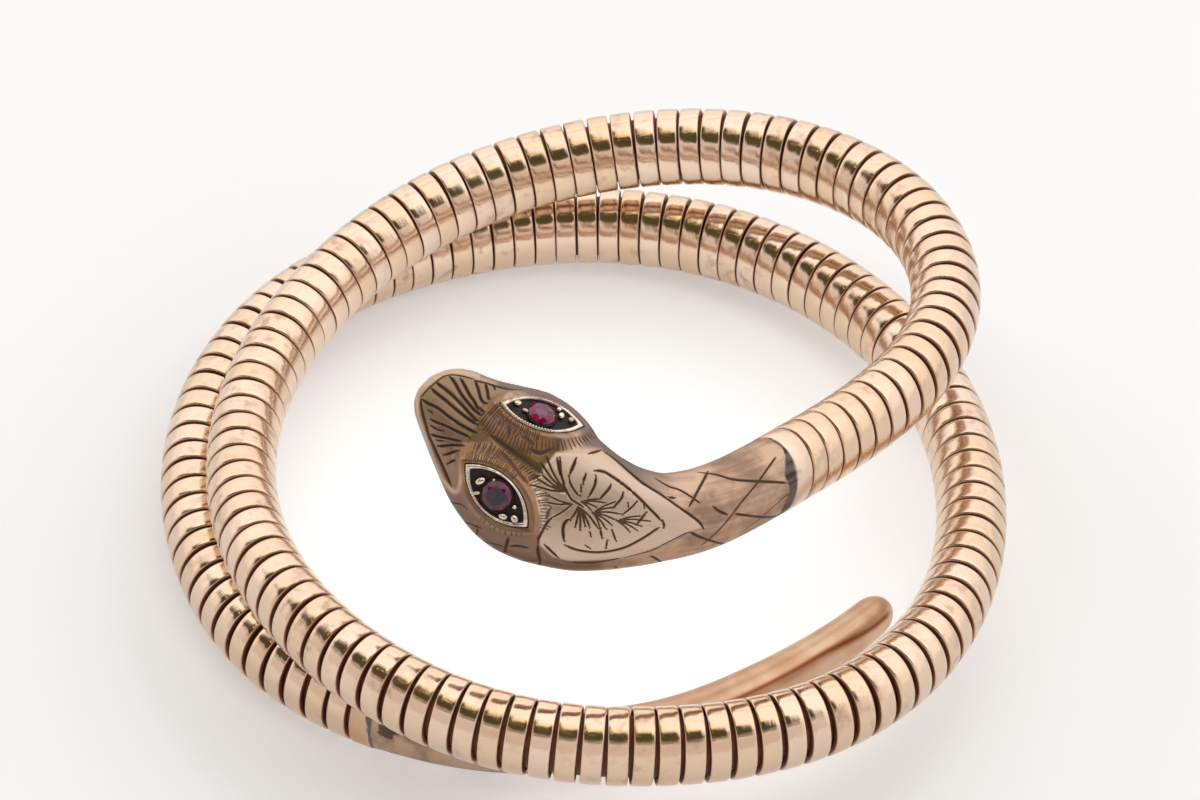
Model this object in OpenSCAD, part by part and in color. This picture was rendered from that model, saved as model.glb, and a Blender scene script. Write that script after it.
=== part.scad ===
// Snake bangle: a spring coil of oval rings on an inner tube, closed by a flattened
// snake's head with two stone-set eyes at one end and a plain tapered tail at the other.
// The bangle lies on its lower turn, with the head raised and turned in over the middle.

/* [Ringed body] */
// Thickness of the ringed body, measured across the wrist side
body_thickness = 6.2; // [4:0.1:9]
// Width of the ringed body, measured along the arm
body_width = 7.6; // [5:0.1:11]
// Distance from one ring to the next along the middle of the body
ring_pitch = 2.08; // [1.6:0.01:3]
// Length of one ring along the body
ring_length = 1.62; // [1.2:0.01:2.6]
// Wall thickness of a ring
ring_wall = 0.6; // [0.4:0.05:1.2]
// Radius of the two narrow ends of the ring's oval
oval_end_radius = 2.7; // [2:0.05:4]

/* [Inner tube] */
// Space between the inner tube and the rings, all round
tube_clearance = 0.15; // [0.1:0.01:0.5]
// How far the inner tube reaches into the head and into the tail
tube_insertion = 1.4; // [0.5:0.1:3]

/* [Head] */
// Length of the plain collar that joins the neck to the rings
collar_length = 2.3; // [1:0.1:5]
// Bluntness of the head's cross section, 2 is an ellipse
head_bluntness = 2.3; // [2:0.05:3]
// Number of sides round the head
head_sides = 36; // [24:4:64]

/* [Eyes] */
// Distance of the middle of an eye from the tip of the nose
eye_distance = 10.7; // [6:0.1:14]
// Distance of the middle of an eye from the middle line of the head
eye_spread = 4.1; // [2.5:0.1:6]
// Height of the eye setting's rim over the middle of the head
eye_height = 3.3; // [2:0.05:5]
// Outward slope of an eye, in degrees
eye_slope = 29; // [0:1:45]
// How far the eyes point in towards the nose, in degrees
eye_turn = 18; // [0:1:30]
// How far both eyes sit towards the inner side of the coil, in mm and as a roll in degrees
eye_shift = 0.15; // [0:0.05:1]
eye_roll = 4.5; // [0:0.5:10]
// Length of an eye setting from point to point
eye_length = 7.4; // [5:0.1:10]
// Width of an eye setting
eye_width = 3.6; // [2.4:0.1:5]
// Depth of an eye setting
eye_depth = 1.7; // [1:0.1:3]
// Width of the raised rim of an eye setting
eye_rim = 0.28; // [0.2:0.02:0.8]
// Depth of the sunk floor inside the rim
eye_sink = 0.3; // [0.2:0.05:1]
// Diameter of a round eye stone
stone_diameter = 2.5; // [1.5:0.1:3.5]
// Radius of the small grains at the points of an eye setting
grain_radius = 0.26; // [0.15:0.01:0.4]

/* [Tail] */
// Number of sides round the tail
tail_sides = 24; // [16:4:48]

/* [Hidden] */
// Middle of the coil, set so that the bangle's box stands centred over the origin
coil_middle = [0.671, -0.213, 0.066];
station_first = -150;
station_step = 24;
// Path of the middle of the body, one row every station_step degrees round the bangle:
// radius from the middle, height over the table.
// These rows were solved from the photograph by a fitting program and aren't a design made
// by hand or by rule, as they should be: report.md says how they came about
path_rows = [
    [17.9, 35.4], [17.9, 33.0], [20.9, 30.0], [22.65, 26.7], [20.25, 23.8], [19.8, 21.2],
    [24.3, 19.55], [33.95, 17.9], [38.4, 16.2], [36.55, 14.9], [33.65, 13.3], [31.9, 12.0],
    [30.8, 10.5], [30.6, 9.75], [30.65, 10.15], [31.3, 11.8], [32.3, 12.35], [33.4, 11.75],
    [34.2, 11.3], [36.4, 10.2], [35.8, 8.8], [33.7, 7.4], [33.15, 6.1], [33.35, 4.9],
    [34.0, 4.1], [34.15, 3.8], [34.35, 3.8], [36.45, 3.8], [36.05, 3.8], [34.6, 3.8],
    [32.9, 3.8], [29.3, 3.8], [27.05, 3.35], [25.75, 2.8], [24.4, 2.35], [26.35, 2.1],
    [30.8, 2.0], [34.8, 2.0]
];
// Angles round the bangle at which its parts begin and end
nose_angle = -137.7;
rings_start = -33.3;
rings_split = 280;
rings_end = 590.5;
tail_end = 699;

// Shape of the head by distance from the nose:
// distance, half width, height of the top, depth of the underside.
// The half widths from 10.2 on came from the same fitting program
head_rows = [
    [0.0, 0.3, 0.15, 0.15], [0.3, 1.5, 0.75, 0.6], [0.9, 2.4, 1.2, 0.95], [1.8, 3.1, 1.6, 1.3],
    [3.0, 3.6, 2.0, 1.6], [4.5, 4.25, 2.45, 1.9], [6.3, 5.15, 2.9, 2.2], [8.2, 6.1, 3.2, 2.45],
    [10.2, 6.8, 3.4, 2.65], [12.0, 6.9, 3.5, 2.75], [13.8, 6.6, 3.5, 2.85], [15.6, 6.1, 3.45, 2.9],
    [17.6, 5.6, 3.35, 2.95], [19.6, 4.95, 3.25, 3.0], [21.8, 4.35, 3.15, 3.0], [24.5, 3.85, 3.05, 3.0],
    [28.0, 3.8, 3.05, 3.05], [36.0, 3.8, 3.05, 3.05]
];
// How the head is turned, by distance from the nose: distance, turn of its top from upright (0)
// to outward (90), sideways set of its cross sections
turn_rows = [
    [0, 19, -8], [2.5, 19, -3], [6, 20, 7], [10, 22, 11], [14, 30, 9], [18, 44, 6],
    [22, 60, 3], [27, 76, 0], [32, 86, 0], [38, 90, 0]
];
// Shape of the tail by distance from the rings: distance, half width, half thickness
tail_rows = [
    [2.2, 3.75, 3.05], [2.5, 3.68, 3.0], [8, 3.5, 2.95], [14, 3.2, 2.8], [22, 2.8, 2.55],
    [30, 2.5, 2.3], [38, 2.2, 2.1], [45, 2.0, 1.9], [49.2, 1.85, 1.8], [50.65, 1.45, 1.4],
    [51.55, 0.85, 0.8], [51.85, 0.25, 0.22]
];

// A column of the path at an angle round the bangle, as a smooth cubic curve
function path_value(angle, column) =
    let (u = (angle - station_first) / station_step,
         i = max(1, min(len(path_rows) - 3, floor(u))),
         f = u - i)
    ((1 - f) ^ 3 * path_rows[i - 1][column]
        + (3 * f ^ 3 - 6 * f ^ 2 + 4) * path_rows[i][column]
        + (-3 * f ^ 3 + 3 * f ^ 2 + 3 * f + 1) * path_rows[i + 1][column]
        + f ^ 3 * path_rows[i + 2][column]) / 6;
function path_point(angle) =
    let (r = path_value(angle, 0))
    coil_middle + [r * cos(angle), r * sin(angle), path_value(angle, 1)];

function unit(v) = v / norm(v);
function along(angle) = unit(path_point(angle + 0.25) - path_point(angle - 0.25));
function outward(angle) = let (t = along(angle)) unit([t.y, -t.x, 0]);
function upward(angle) = cross(outward(angle), along(angle));

// Columns of the placement at an angle: the way the top faces, the side, along the body
function top_way(angle, turn) = outward(angle) * sin(turn) + upward(angle) * cos(turn);
function side_way(angle, turn, set = 0) =
    (outward(angle) * cos(turn) - upward(angle) * sin(turn)) * cos(set) + along(angle) * sin(set);

// Running length of the path against angle, and the other way round
length_step = 1;
length_rows = [
    for (a = nose_angle, s = 0; a <= tail_end + 6;
         s = s + norm(path_point(a + length_step) - path_point(a)), a = a + length_step)
        [a, s]
];
angle_rows = [for (row = length_rows) [row[1], row[0]]];
function length_at(angle) = lookup(angle, length_rows);
function angle_at(distance) = lookup(distance, angle_rows);

function column_at(rows, distance, column) =
    lookup(distance, [for (row = rows) [row[0], row[column]]]);

ring_count = floor((length_at(rings_end) - length_at(rings_start)) / ring_pitch);
split_count = floor((length_at(rings_split) - length_at(rings_start)) / ring_pitch);
rings_from = length_at(rings_start);
head_length = rings_from;
tail_from = rings_from + ring_count * ring_pitch;

half_thickness = body_thickness / 2;
half_width = body_width / 2;
tube_thickness = half_thickness - ring_wall - tube_clearance;
tube_width = half_width - ring_wall - tube_clearance;
// Sockets in the head and the tail that take the ends of the inner tube
socket_depth = tube_insertion + 0.3;
socket_clearance = 0.12;
// Gap between a collar and the ring beside it, and the rounding of a collar's edge
collar_gap = 0.15;
edge_rounding = 0.12;
tube_steps = 125;
tube_sides = 12;
// Space round an eye setting in its pocket, and depth of the stone's seat
pocket_gap = 0.06;
stone_seat = 0.8;
stone_gap = 0.04;
crown_height = 0.42;
// Low collet that carries a stone over the floor of its setting
stone_lift = 0.25;
collet_wall = 0.14;
pavilion_height = 0.7;
// Grains on the floor of a setting: distance along it from the middle, distance across
grain_rows = [[1.75, 0.4], [2.35, -0.05]];

// Oval of four arcs, x is half the thickness and y half the width, grown by a margin
module oval(margin) {
    end_r = oval_end_radius + margin;
    end_y = half_width - oval_end_radius;
    // the long sides are arcs that meet the ends smoothly
    side_x = (end_y ^ 2 - (half_thickness - oval_end_radius) ^ 2)
        / (2 * (half_thickness - oval_end_radius));
    side_r = half_thickness + side_x + margin;
    reach = norm([side_x, end_y]);
    meet_y = end_y + end_r * end_y / reach;
    union() {
        intersection() {
            translate([-side_x, 0]) circle(r = side_r, $fn = 96);
            translate([side_x, 0]) circle(r = side_r, $fn = 96);
            square([2 * body_width, 2 * meet_y], center = true);
        }
        translate([0, end_y]) circle(r = end_r, $fn = 64);
        translate([0, -end_y]) circle(r = end_r, $fn = 64);
    }
}

module ring() {
    linear_extrude(height = ring_length, center = true)
        difference() {
            oval(0);
            oval(-ring_wall);
        }
}

// Puts a piece with its z along the body and its x the way the top faces
module on_path(angle, turn, set = 0) {
    n = top_way(angle, turn);
    w = side_way(angle, turn, set);
    t = cross(n, w);
    p = path_point(angle);
    multmatrix([[n.x, w.x, t.x, p.x], [n.y, w.y, t.y, p.y], [n.z, w.z, t.z, p.z]]) children();
}

module rings(first, last) {
    for (i = [first : last]) on_path(angle_at(rings_from + (i + 0.5) * ring_pitch), 90) ring();
}

module upper_rings() color("goldenrod") rings(0, split_count - 1);
module lower_rings() color("goldenrod") rings(split_count, ring_count - 1);

// Solid through a list of closed loops with the same number of points each
module loft(loops) {
    sides = len(loops[0]);
    points = [for (loop = loops) each loop];
    walls = [
        for (j = [0 : len(loops) - 2]) for (k = [0 : sides - 1])
            let (a = j * sides + k, b = j * sides + (k + 1) % sides)
            each [[a, b + sides, b], [a, a + sides, b + sides]]
    ];
    first_cap = [for (k = [1 : sides - 2]) [0, k, k + 1]];
    end = (len(loops) - 1) * sides;
    end_cap = [for (k = [1 : sides - 2]) [end, end + k + 1, end + k]];
    polyhedron(points = points, faces = [each first_cap, each walls, each end_cap], convexity = 8);
}

// One closed loop round the body: up and down are the reach to the top and the underside
function rounded(v, power) = sign(v) * abs(v) ^ (2 / power);
function body_loop(distance, turn, side, up, down, power, sides, set = 0) =
    let (a = angle_at(distance), p = path_point(a), n = top_way(a, turn),
         w = side_way(a, turn, set))
    [
        for (k = [0 : sides - 1])
            let (q = 360 * k / sides, c = rounded(cos(q), power), s = rounded(sin(q), power))
            p + n * c * (c > 0 ? up : down) + w * s * side
    ];

module core_tube() {
    color("saddlebrown") loft([
        for (i = [0 : tube_steps])
            let (d = rings_from - tube_insertion
                + (tail_from + tube_insertion - rings_from + tube_insertion) * i / tube_steps)
            body_loop(d, 90, tube_width, tube_thickness, tube_thickness, 2, tube_sides)
    ]);
}

function head_loop(d) =
    body_loop(d, column_at(turn_rows, d, 1), column_at(head_rows, d, 1),
        column_at(head_rows, d, 2), column_at(head_rows, d, 3),
        2 + (head_bluntness - 2) * max(0, min(1, (22 - d) / 8)), head_sides,
        column_at(turn_rows, d, 2));
function socket_loop(d, sides) =
    body_loop(d, 90, tube_width + socket_clearance, tube_thickness + socket_clearance,
        tube_thickness + socket_clearance, 2, sides);
function collar_loop(d, shrink) =
    body_loop(d, 90, half_width - shrink, half_thickness - shrink, half_thickness - shrink,
        2, head_sides);

head_stations = [
    0, 0.12, 0.3, 0.6, 0.9, 1.35, 1.8, 2.4, 3, 3.75, 4.5, 5.4, 6.3, 7.2, 8.2, 9.2, 10.2, 11.1,
    12, 12.9, 13.8, 14.7, 15.6, 16.6, 17.6, 18.6, 19.6, 20.7, 21.8, 23.2, 24.5, 26.2, 28, 30, 32,
    34, 36
];

module head_body() {
    front = head_length - collar_length;
    back = head_length - collar_gap;
    loft([
        for (d = head_stations) head_loop(d),
        head_loop(front - 0.2),
        collar_loop(front, edge_rounding / 2),
        collar_loop(front + edge_rounding, 0),
        collar_loop(back - edge_rounding, 0),
        collar_loop(back, edge_rounding),
        socket_loop(back, head_sides),
        socket_loop(head_length - socket_depth, head_sides)
    ]);
}

// Puts an eye piece on the head, its x towards the nose and its z out of the head
module at_eye(side) {
    angle = angle_at(eye_distance);
    on_path(angle, column_at(turn_rows, eye_distance, 1) - eye_roll, column_at(turn_rows, eye_distance, 2))
        translate([eye_height, side * eye_spread - eye_shift, 0])
            rotate([0, 0, side * eye_slope])
                rotate([-side * eye_turn, 0, 0])
                    rotate([0, 90, 0])
                        children();
}

module marquise(length, width) {
    r = (length ^ 2 + width ^ 2) / (4 * width);
    intersection() {
        translate([0, r - width / 2]) circle(r = r, $fn = 128);
        translate([0, width / 2 - r]) circle(r = r, $fn = 128);
    }
}

module eye_pocket() {
    translate([0, 0, -eye_depth - pocket_gap])
        linear_extrude(height = eye_depth + 3)
            marquise(eye_length + 4 * pocket_gap, eye_width + 2 * pocket_gap);
}

module eye_setting(side) {
    seat_r = stone_diameter / 2 + stone_gap;
    color("silver") at_eye(side) union() {
        difference() {
            translate([0, 0, -eye_depth])
                linear_extrude(height = eye_depth) marquise(eye_length, eye_width);
            translate([0, 0, -eye_sink])
                linear_extrude(height = eye_depth)
                    marquise(eye_length - 4.5 * eye_rim, eye_width - 2 * eye_rim);
            translate([0, 0, -eye_sink - stone_seat]) cylinder(h = eye_depth, r = seat_r, $fn = 64);
        }
        difference() {
            translate([0, 0, -eye_sink - 0.1]) cylinder(h = 0.1 + stone_lift, r = seat_r + collet_wall, $fn = 64);
            translate([0, 0, -eye_sink - stone_seat]) cylinder(h = eye_depth, r = seat_r, $fn = 64);
        }
        for (end = [-1, 1]) for (row = grain_rows)
            translate([end * row[0], row[1], -eye_sink]) sphere(r = grain_radius, $fn = 32);
    }
}

// Round stone with a flat table, a ring of crown facets and a pointed pavilion
module eye_stone(side) {
    girdle = stone_diameter / 2;
    color("crimson") at_eye(side) translate([0, 0, stone_lift - eye_sink]) union() {
        cylinder(h = crown_height, r1 = girdle, r2 = girdle * 0.6, $fn = 12);
        translate([0, 0, -pavilion_height])
            cylinder(h = pavilion_height, r1 = girdle * 0.15, r2 = girdle, $fn = 12);
    }
}

module head() {
    color("darkgoldenrod") difference() {
        head_body();
        for (side = [-1, 1]) at_eye(side) eye_pocket();
    }
}
module eye_setting_left() eye_setting(-1);
module eye_setting_right() eye_setting(1);
module ruby_left() eye_stone(-1);
module ruby_right() eye_stone(1);

function tail_loop(d) =
    body_loop(tail_from + d, 90, column_at(tail_rows, d, 1), column_at(tail_rows, d, 2),
        column_at(tail_rows, d, 2), 2, tail_sides);
function tail_collar(d, shrink) =
    body_loop(tail_from + d, 90, half_width - shrink, half_thickness - shrink,
        half_thickness - shrink, 2, tail_sides);

tail_stations = [
    2.5, 4, 6, 8, 10, 12, 14, 16, 18, 20, 22, 24, 26, 28, 30, 32, 34, 36, 38, 40, 42, 43.5, 45,
    46.9, 48.7, 49.4, 50.1, 50.6, 51, 51.3
];
module tail() {
    color("darkgoldenrod") loft([
        socket_loop(tail_from + socket_depth, tail_sides),
        socket_loop(tail_from + collar_gap, tail_sides),
        tail_collar(collar_gap, edge_rounding),
        tail_collar(collar_gap + edge_rounding, 0),
        tail_collar(2, 0),
        for (d = tail_stations) tail_loop(d)
    ]);
}

upper_rings();
lower_rings();
core_tube();
head();
eye_setting_left();
eye_setting_right();
ruby_left();
ruby_right();
tail();
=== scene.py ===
import math
import random
import bmesh
import bpy
import numpy as np
from mathutils import Matrix, Vector
from mathutils.geometry import delaunay_2d_cdt
from mathutils.kdtree import KDTree


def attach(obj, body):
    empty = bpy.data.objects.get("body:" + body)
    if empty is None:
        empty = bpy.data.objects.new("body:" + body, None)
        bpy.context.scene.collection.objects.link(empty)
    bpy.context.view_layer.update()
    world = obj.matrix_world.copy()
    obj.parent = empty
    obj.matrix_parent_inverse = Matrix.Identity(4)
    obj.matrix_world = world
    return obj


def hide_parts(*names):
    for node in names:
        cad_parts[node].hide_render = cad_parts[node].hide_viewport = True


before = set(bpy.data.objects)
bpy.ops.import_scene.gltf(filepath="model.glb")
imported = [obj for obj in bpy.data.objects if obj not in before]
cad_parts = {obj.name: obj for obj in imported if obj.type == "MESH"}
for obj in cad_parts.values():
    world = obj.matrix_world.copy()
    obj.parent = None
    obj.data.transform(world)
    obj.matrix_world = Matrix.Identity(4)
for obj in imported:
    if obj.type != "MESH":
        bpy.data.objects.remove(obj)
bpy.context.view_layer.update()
print("frame loaded", sorted(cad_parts))
mm = 0.001

# camera: level, looking down on the coil
cameraSettings = {
    "position": (1.671, -419.148, 483.110),     # mm, 650 from the place that it aims at on the floor
    "down": math.radians(48), "lens": 214.5, "sensor": 36.0, "image": (1200, 800),
}


def makeCamera(settings):
    data = bpy.data.cameras.new("camera")
    data.lens, data.sensor_width = settings["lens"], settings["sensor"]
    data.clip_start, data.clip_end = 0.01, 20
    camera = bpy.data.objects.new("camera", data)
    camera.location = Vector(settings["position"]) * mm
    camera.rotation_euler = (math.pi / 2 - settings["down"], 0, 0)
    bpy.context.scene.collection.objects.link(camera)
    bpy.context.scene.camera = camera


def inPicture(points):
    # points in mm to places in the 1200 x 800 picture
    s = cameraSettings
    q = np.asarray(points) - np.array(s["position"])
    ahead = q[..., 1] * math.cos(s["down"]) - q[..., 2] * math.sin(s["down"])
    up = q[..., 1] * math.sin(s["down"]) + q[..., 2] * math.cos(s["down"])
    width, height = s["image"]
    focal = s["lens"] / s["sensor"] * width
    return np.stack([width / 2 + focal * q[..., 0] / ahead, height / 2 - focal * up / ahead], -1)


def pictureRays(picture):
    # ways from the camera through places in the picture
    s, picture = cameraSettings, np.asarray(picture, float)
    width, height = s["image"]
    across, up = picture[:, 0] - width / 2, height / 2 - picture[:, 1]
    ahead, c, d = s["lens"] / s["sensor"] * width, math.cos(s["down"]), math.sin(s["down"])
    return np.stack([across, ahead * c + up * d, up * c - ahead * d], 1)


makeCamera(cameraSettings)

# path of the body, the curve that the solids follow; its rows were solved from the photograph by a
# fitting program, as in part.scad
pathSettings = {
    "middle": (0.671, -0.213, 0.066), "first": -150.0, "step": 24.0,
    "rows": [  # radius, height
        (17.9, 35.4), (17.9, 33.0), (20.9, 30.0), (22.65, 26.7), (20.25, 23.8), (19.8, 21.2),
        (24.3, 19.55), (33.95, 17.9), (38.4, 16.2), (36.55, 14.9), (33.65, 13.3), (31.9, 12.0),
        (30.8, 10.5), (30.6, 9.75), (30.65, 10.15), (31.3, 11.8), (32.3, 12.35), (33.4, 11.75),
        (34.2, 11.3), (36.4, 10.2), (35.8, 8.8), (33.7, 7.4), (33.15, 6.1), (33.35, 4.9),
        (34.0, 4.1), (34.15, 3.8), (34.35, 3.8), (36.45, 3.8), (36.05, 3.8), (34.6, 3.8),
        (32.9, 3.8), (29.3, 3.8), (27.05, 3.35), (25.75, 2.8), (24.4, 2.35), (26.35, 2.1),
        (30.8, 2.0), (34.8, 2.0)],
    "nose": -137.7, "ringsStart": -33.3, "ringsSplit": 280.0, "ringsEnd": 590.5, "tailEnd": 699.0,
    "tableStep": 0.04, "tableLead": 4.0,     # mm
}


def curvePoint(angle):
    rows = np.array(pathSettings["rows"])
    u = (angle - pathSettings["first"]) / pathSettings["step"]
    i = np.clip(np.floor(u).astype(int), 1, len(rows) - 3)
    f = (u - i)[:, None]
    value = ((1 - f) ** 3 * rows[i - 1] + (3 * f ** 3 - 6 * f ** 2 + 4) * rows[i]
             + (-3 * f ** 3 + 3 * f ** 2 + 3 * f + 1) * rows[i + 1] + f ** 3 * rows[i + 2]) / 6
    turn = np.radians(angle)
    point = np.stack([value[:, 0] * np.cos(turn), value[:, 0] * np.sin(turn), value[:, 1]], 1)
    return point + np.array(pathSettings["middle"])


def unit(v):
    return v / np.linalg.norm(v, axis=-1, keepdims=True)


def runAlong(points):
    # length walked to each point
    return np.concatenate([[0], np.cumsum(np.linalg.norm(np.diff(points, axis=0), axis=1))])


def wrapped(turns):
    # angles brought between -pi and pi
    return (turns + math.pi) % (2 * math.pi) - math.pi


def makePathTable():
    # every small step along the path: point, way out of the coil, way up, way along
    s = pathSettings
    angles = np.arange(s["nose"], s["tailEnd"] + 6, 1.0)
    run = runAlong(curvePoint(angles))
    steps = np.arange(-s["tableLead"], run[-1], s["tableStep"])
    at = np.interp(steps, run, angles) + np.minimum(steps, 0) / run[1]
    along = unit(curvePoint(at + 0.25) - curvePoint(at - 0.25))
    out = unit(np.stack([along[:, 1], -along[:, 0], np.zeros(len(at))], 1))
    table = np.hstack([curvePoint(at), out, np.cross(out, along), along])
    return table, lambda angle: float(np.interp(angle, angles, run))


pathTable, lengthAt = makePathTable()


def bodyFrame(distance):
    at = (np.asarray(distance, float) + pathSettings["tableLead"]) / pathSettings["tableStep"]
    i = np.clip(at.astype(int), 0, len(pathTable) - 2)
    f = (at - i)[..., None]
    row = pathTable[i] * (1 - f) + pathTable[i + 1] * f
    return row[..., :3], row[..., 3:6], row[..., 6:9], row[..., 9:]


def bodyPoints(distance, turn, sideSet, side, top, under, power, around):
    # points round the body: turn of its top, lean of its sides, half width, top and underside
    place, out, up, along = bodyFrame(distance)
    turn, sideSet = np.radians(turn)[..., None], np.radians(sideSet)[..., None]
    n = out * np.sin(turn) + up * np.cos(turn)
    w = (out * np.cos(turn) - up * np.sin(turn)) * np.cos(sideSet) + along * np.sin(sideSet)
    c, s = np.cos(around), np.sin(around)
    c = np.sign(c) * np.abs(c) ** (2 / power)
    s = np.sign(s) * np.abs(s) ** (2 / power)
    return place + n * (c * np.where(c > 0, top, under))[..., None] + w * (s * side)[..., None]


def plainLoop(distance, side, thick, around):
    return bodyPoints(distance, 90.0, 0.0, side, thick, thick, 2, around)


ringSettings = {
    "pitch": 2.08, "length": 1.62, "wall": 0.6, "halfThickness": 3.1, "halfWidth": 3.8, "endRadius": 2.7,
    "longest": 1.83, "clear": 0.09,     # a ring is longer where the bend leaves room
    "around": 60, "crown": 0.016, "edge": 0.12,
    "tilt": 0.8, "seed": 7,             # largest lean of a ring in degrees
}
ringsFrom = lengthAt(pathSettings["ringsStart"])
ringCount = int((lengthAt(pathSettings["ringsEnd"]) - ringsFrom) // ringSettings["pitch"])
splitCount = int((lengthAt(pathSettings["ringsSplit"]) - ringsFrom) // ringSettings["pitch"])
tailFrom = ringsFrom + ringCount * ringSettings["pitch"]
tubeThickness = ringSettings["halfThickness"] - ringSettings["wall"] - 0.15
tubeWidth = ringSettings["halfWidth"] - ringSettings["wall"] - 0.15


# materials
class NodeMaker:
    # a short way to write node trees
    def __init__(self, tree):
        self.tree = tree

    def put(self, socket, value):
        if isinstance(value, bpy.types.NodeSocket):
            self.tree.links.new(value, socket)
        else:
            socket.default_value = value

    def add(self, kind, inputs=None, **values):
        node = self.tree.nodes.new(kind)
        for name, value in values.items():
            setattr(node, name, value)
        for name, value in (inputs or {}).items():
            self.put(node.inputs[name], value)
        return node

    def math(self, operation, a, b=0.0):
        return self.add("ShaderNodeMath", {0: a, 1: b}, operation=operation).outputs[0]

    def times(self, a, b):
        return self.math("MULTIPLY", a, b)

    def plus(self, a, b):
        return self.math("ADD", a, b)

    def most(self, a, b):
        return self.math("MAXIMUM", a, b)

    def rest(self, value):
        return self.math("SUBTRACT", 1.0, value)

    def vector(self, operation, inputs, output=0):
        return self.add("ShaderNodeVectorMath", inputs, operation=operation).outputs[output]

    def scaled(self, vector, scale):
        return self.vector("SCALE", {0: vector, "Scale": scale})

    def chance(self, low, high, seed):
        return self.add("FunctionNodeRandomValue", {0: low, 1: high, "Seed": seed},
                        data_type="FLOAT_VECTOR").outputs[0]

    def store(self, geometry, name, value, domain="POINT"):
        return self.add("GeometryNodeStoreNamedAttribute", {
            "Geometry": geometry, "Name": name, "Value": value}, data_type="FLOAT", domain=domain).outputs[0]

    def mix(self, factor, a, b):
        node = self.add("ShaderNodeMix", data_type="RGBA")
        for socket, value in ((0, factor), (6, a), (7, b)):
            self.put(node.inputs[socket], value)
        return node.outputs[2]

    def span(self, value, low, high, toLow=0.0, toHigh=1.0):
        return self.add("ShaderNodeMapRange", {
            "Value": value, "From Min": low, "From Max": high, "To Min": toLow, "To Max": toHigh},
            interpolation_type="SMOOTHSTEP").outputs[0]

    def noise(self, vector, scale, detail=3.0, roughness=0.55):
        return self.add("ShaderNodeTexNoise", {
            "Vector": vector, "Scale": scale, "Detail": detail, "Roughness": roughness}).outputs[0]

    def part(self, name):
        return self.add("ShaderNodeAttribute", attribute_name=name).outputs["Fac"]

    def place(self):
        return self.add("ShaderNodeTexCoord").outputs["Object"]

    def brushed(self, scale):
        # streaks that run along the body
        uv = self.add("ShaderNodeUVMap", uv_map="bodyMap").outputs[0]
        stretched = self.add("ShaderNodeMapping", {"Vector": uv, "Scale": scale})
        return self.noise(stretched.outputs[0], 1.0, 4, 0.6)

    def bump(self, height, strength, distance, normal=None):
        node = self.add("ShaderNodeBump", {"Height": height, "Strength": strength, "Distance": distance})
        if normal:
            self.put(node.inputs["Normal"], normal)
        return node.outputs[0]


def newMaterial(name, **fixed):
    # fixed values go straight to the shader's sockets
    material = bpy.data.materials.new(name)
    material.use_nodes = True
    material.node_tree.nodes.clear()
    make = NodeMaker(material.node_tree)
    shader = make.add("ShaderNodeBsdfPrincipled")
    make.put(make.add("ShaderNodeOutputMaterial").inputs[0], shader.outputs[0])
    for label, value in fixed.items():
        shader.inputs[label].default_value = value
    return material, make, shader.inputs


def colour(red, green, blue):
    # screen colour, 0 to 255, as light
    return tuple((v / 255 / 12.92 if v <= 10 else ((v / 255 + 0.055) / 1.055) ** 2.4)
                 for v in (red, green, blue)) + (1.0,)


goldSettings = {
    "base": colour(228, 203, 182), "warm": colour(222, 193, 164), "tarnish": colour(166, 130, 112),
    # brown for the painted shade on the rings' sides, in the gaps between them
    "paintedGapShade": colour(150, 94, 60), "roughness": (0.10, 0.19),
    "cloudScale": 90.0, "spotScale": 800.0, "brush": (0.35, 9.0, 1.0),
}


def ringGold(settings):
    material, make, socket = newMaterial("ringGold")
    place = make.place()
    cloud, spots = make.noise(place, settings["cloudScale"]), make.noise(place, settings["spotScale"], 2, 0.5)
    tone, paintedGapShade = make.part("ringTone"), make.part("paintedGapShade")
    spotMask = make.times(make.span(spots, 0.5, 0.72), make.span(cloud, 0.4, 0.65))
    base = make.mix(tone, settings["base"], settings["warm"])
    base = make.mix(make.times(spotMask, 0.6), base, settings["tarnish"])
    # the marked sides and inner wall of each ring turn brown, less metallic and rougher: painted shade in the gaps
    # between rings
    make.put(socket["Base Color"], make.mix(paintedGapShade, base, settings["paintedGapShade"]))
    make.put(socket["Metallic"], make.rest(make.times(paintedGapShade, 0.75)))
    low, high = settings["roughness"]
    rough = make.span(make.plus(cloud, spots), 0.7, 1.35, low, high)
    make.put(socket["Roughness"], make.plus(rough, make.times(paintedGapShade, 0.3)))
    # polishing marks run round each ring
    ringPlace = make.add("ShaderNodeAttribute", attribute_name="ringPlace").outputs["Vector"]
    own = make.add("ShaderNodeCombineXYZ", {0: make.times(tone, 40.0), 2: make.times(tone, 90.0)})
    moved = make.vector("ADD", {0: ringPlace, 1: own.outputs[0]})
    stretched = make.add("ShaderNodeMapping", {"Vector": moved, "Scale": settings["brush"]})
    marks = make.noise(stretched.outputs[0], 1.0, 4, 0.6)
    fine = make.bump(marks, 0.1, 0.0002)
    grain = make.bump(make.noise(place, 1500, 3, 0.6), 0.06, 0.0002, fine)
    make.put(socket["Normal"], make.bump(make.noise(place, 170, 1), 0.1, 0.0006, grain))
    return material


def darkCore():
    material, make, socket = newMaterial("darkCore", Metallic=0.5)
    spots = make.noise(make.place(), 700)
    make.put(socket["Base Color"], make.mix(make.span(spots, 0.35, 0.7), colour(110, 64, 38), colour(150, 94, 60)))
    make.put(socket["Roughness"], make.span(spots, 0.3, 0.7, 0.45, 0.7))
    return material


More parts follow.
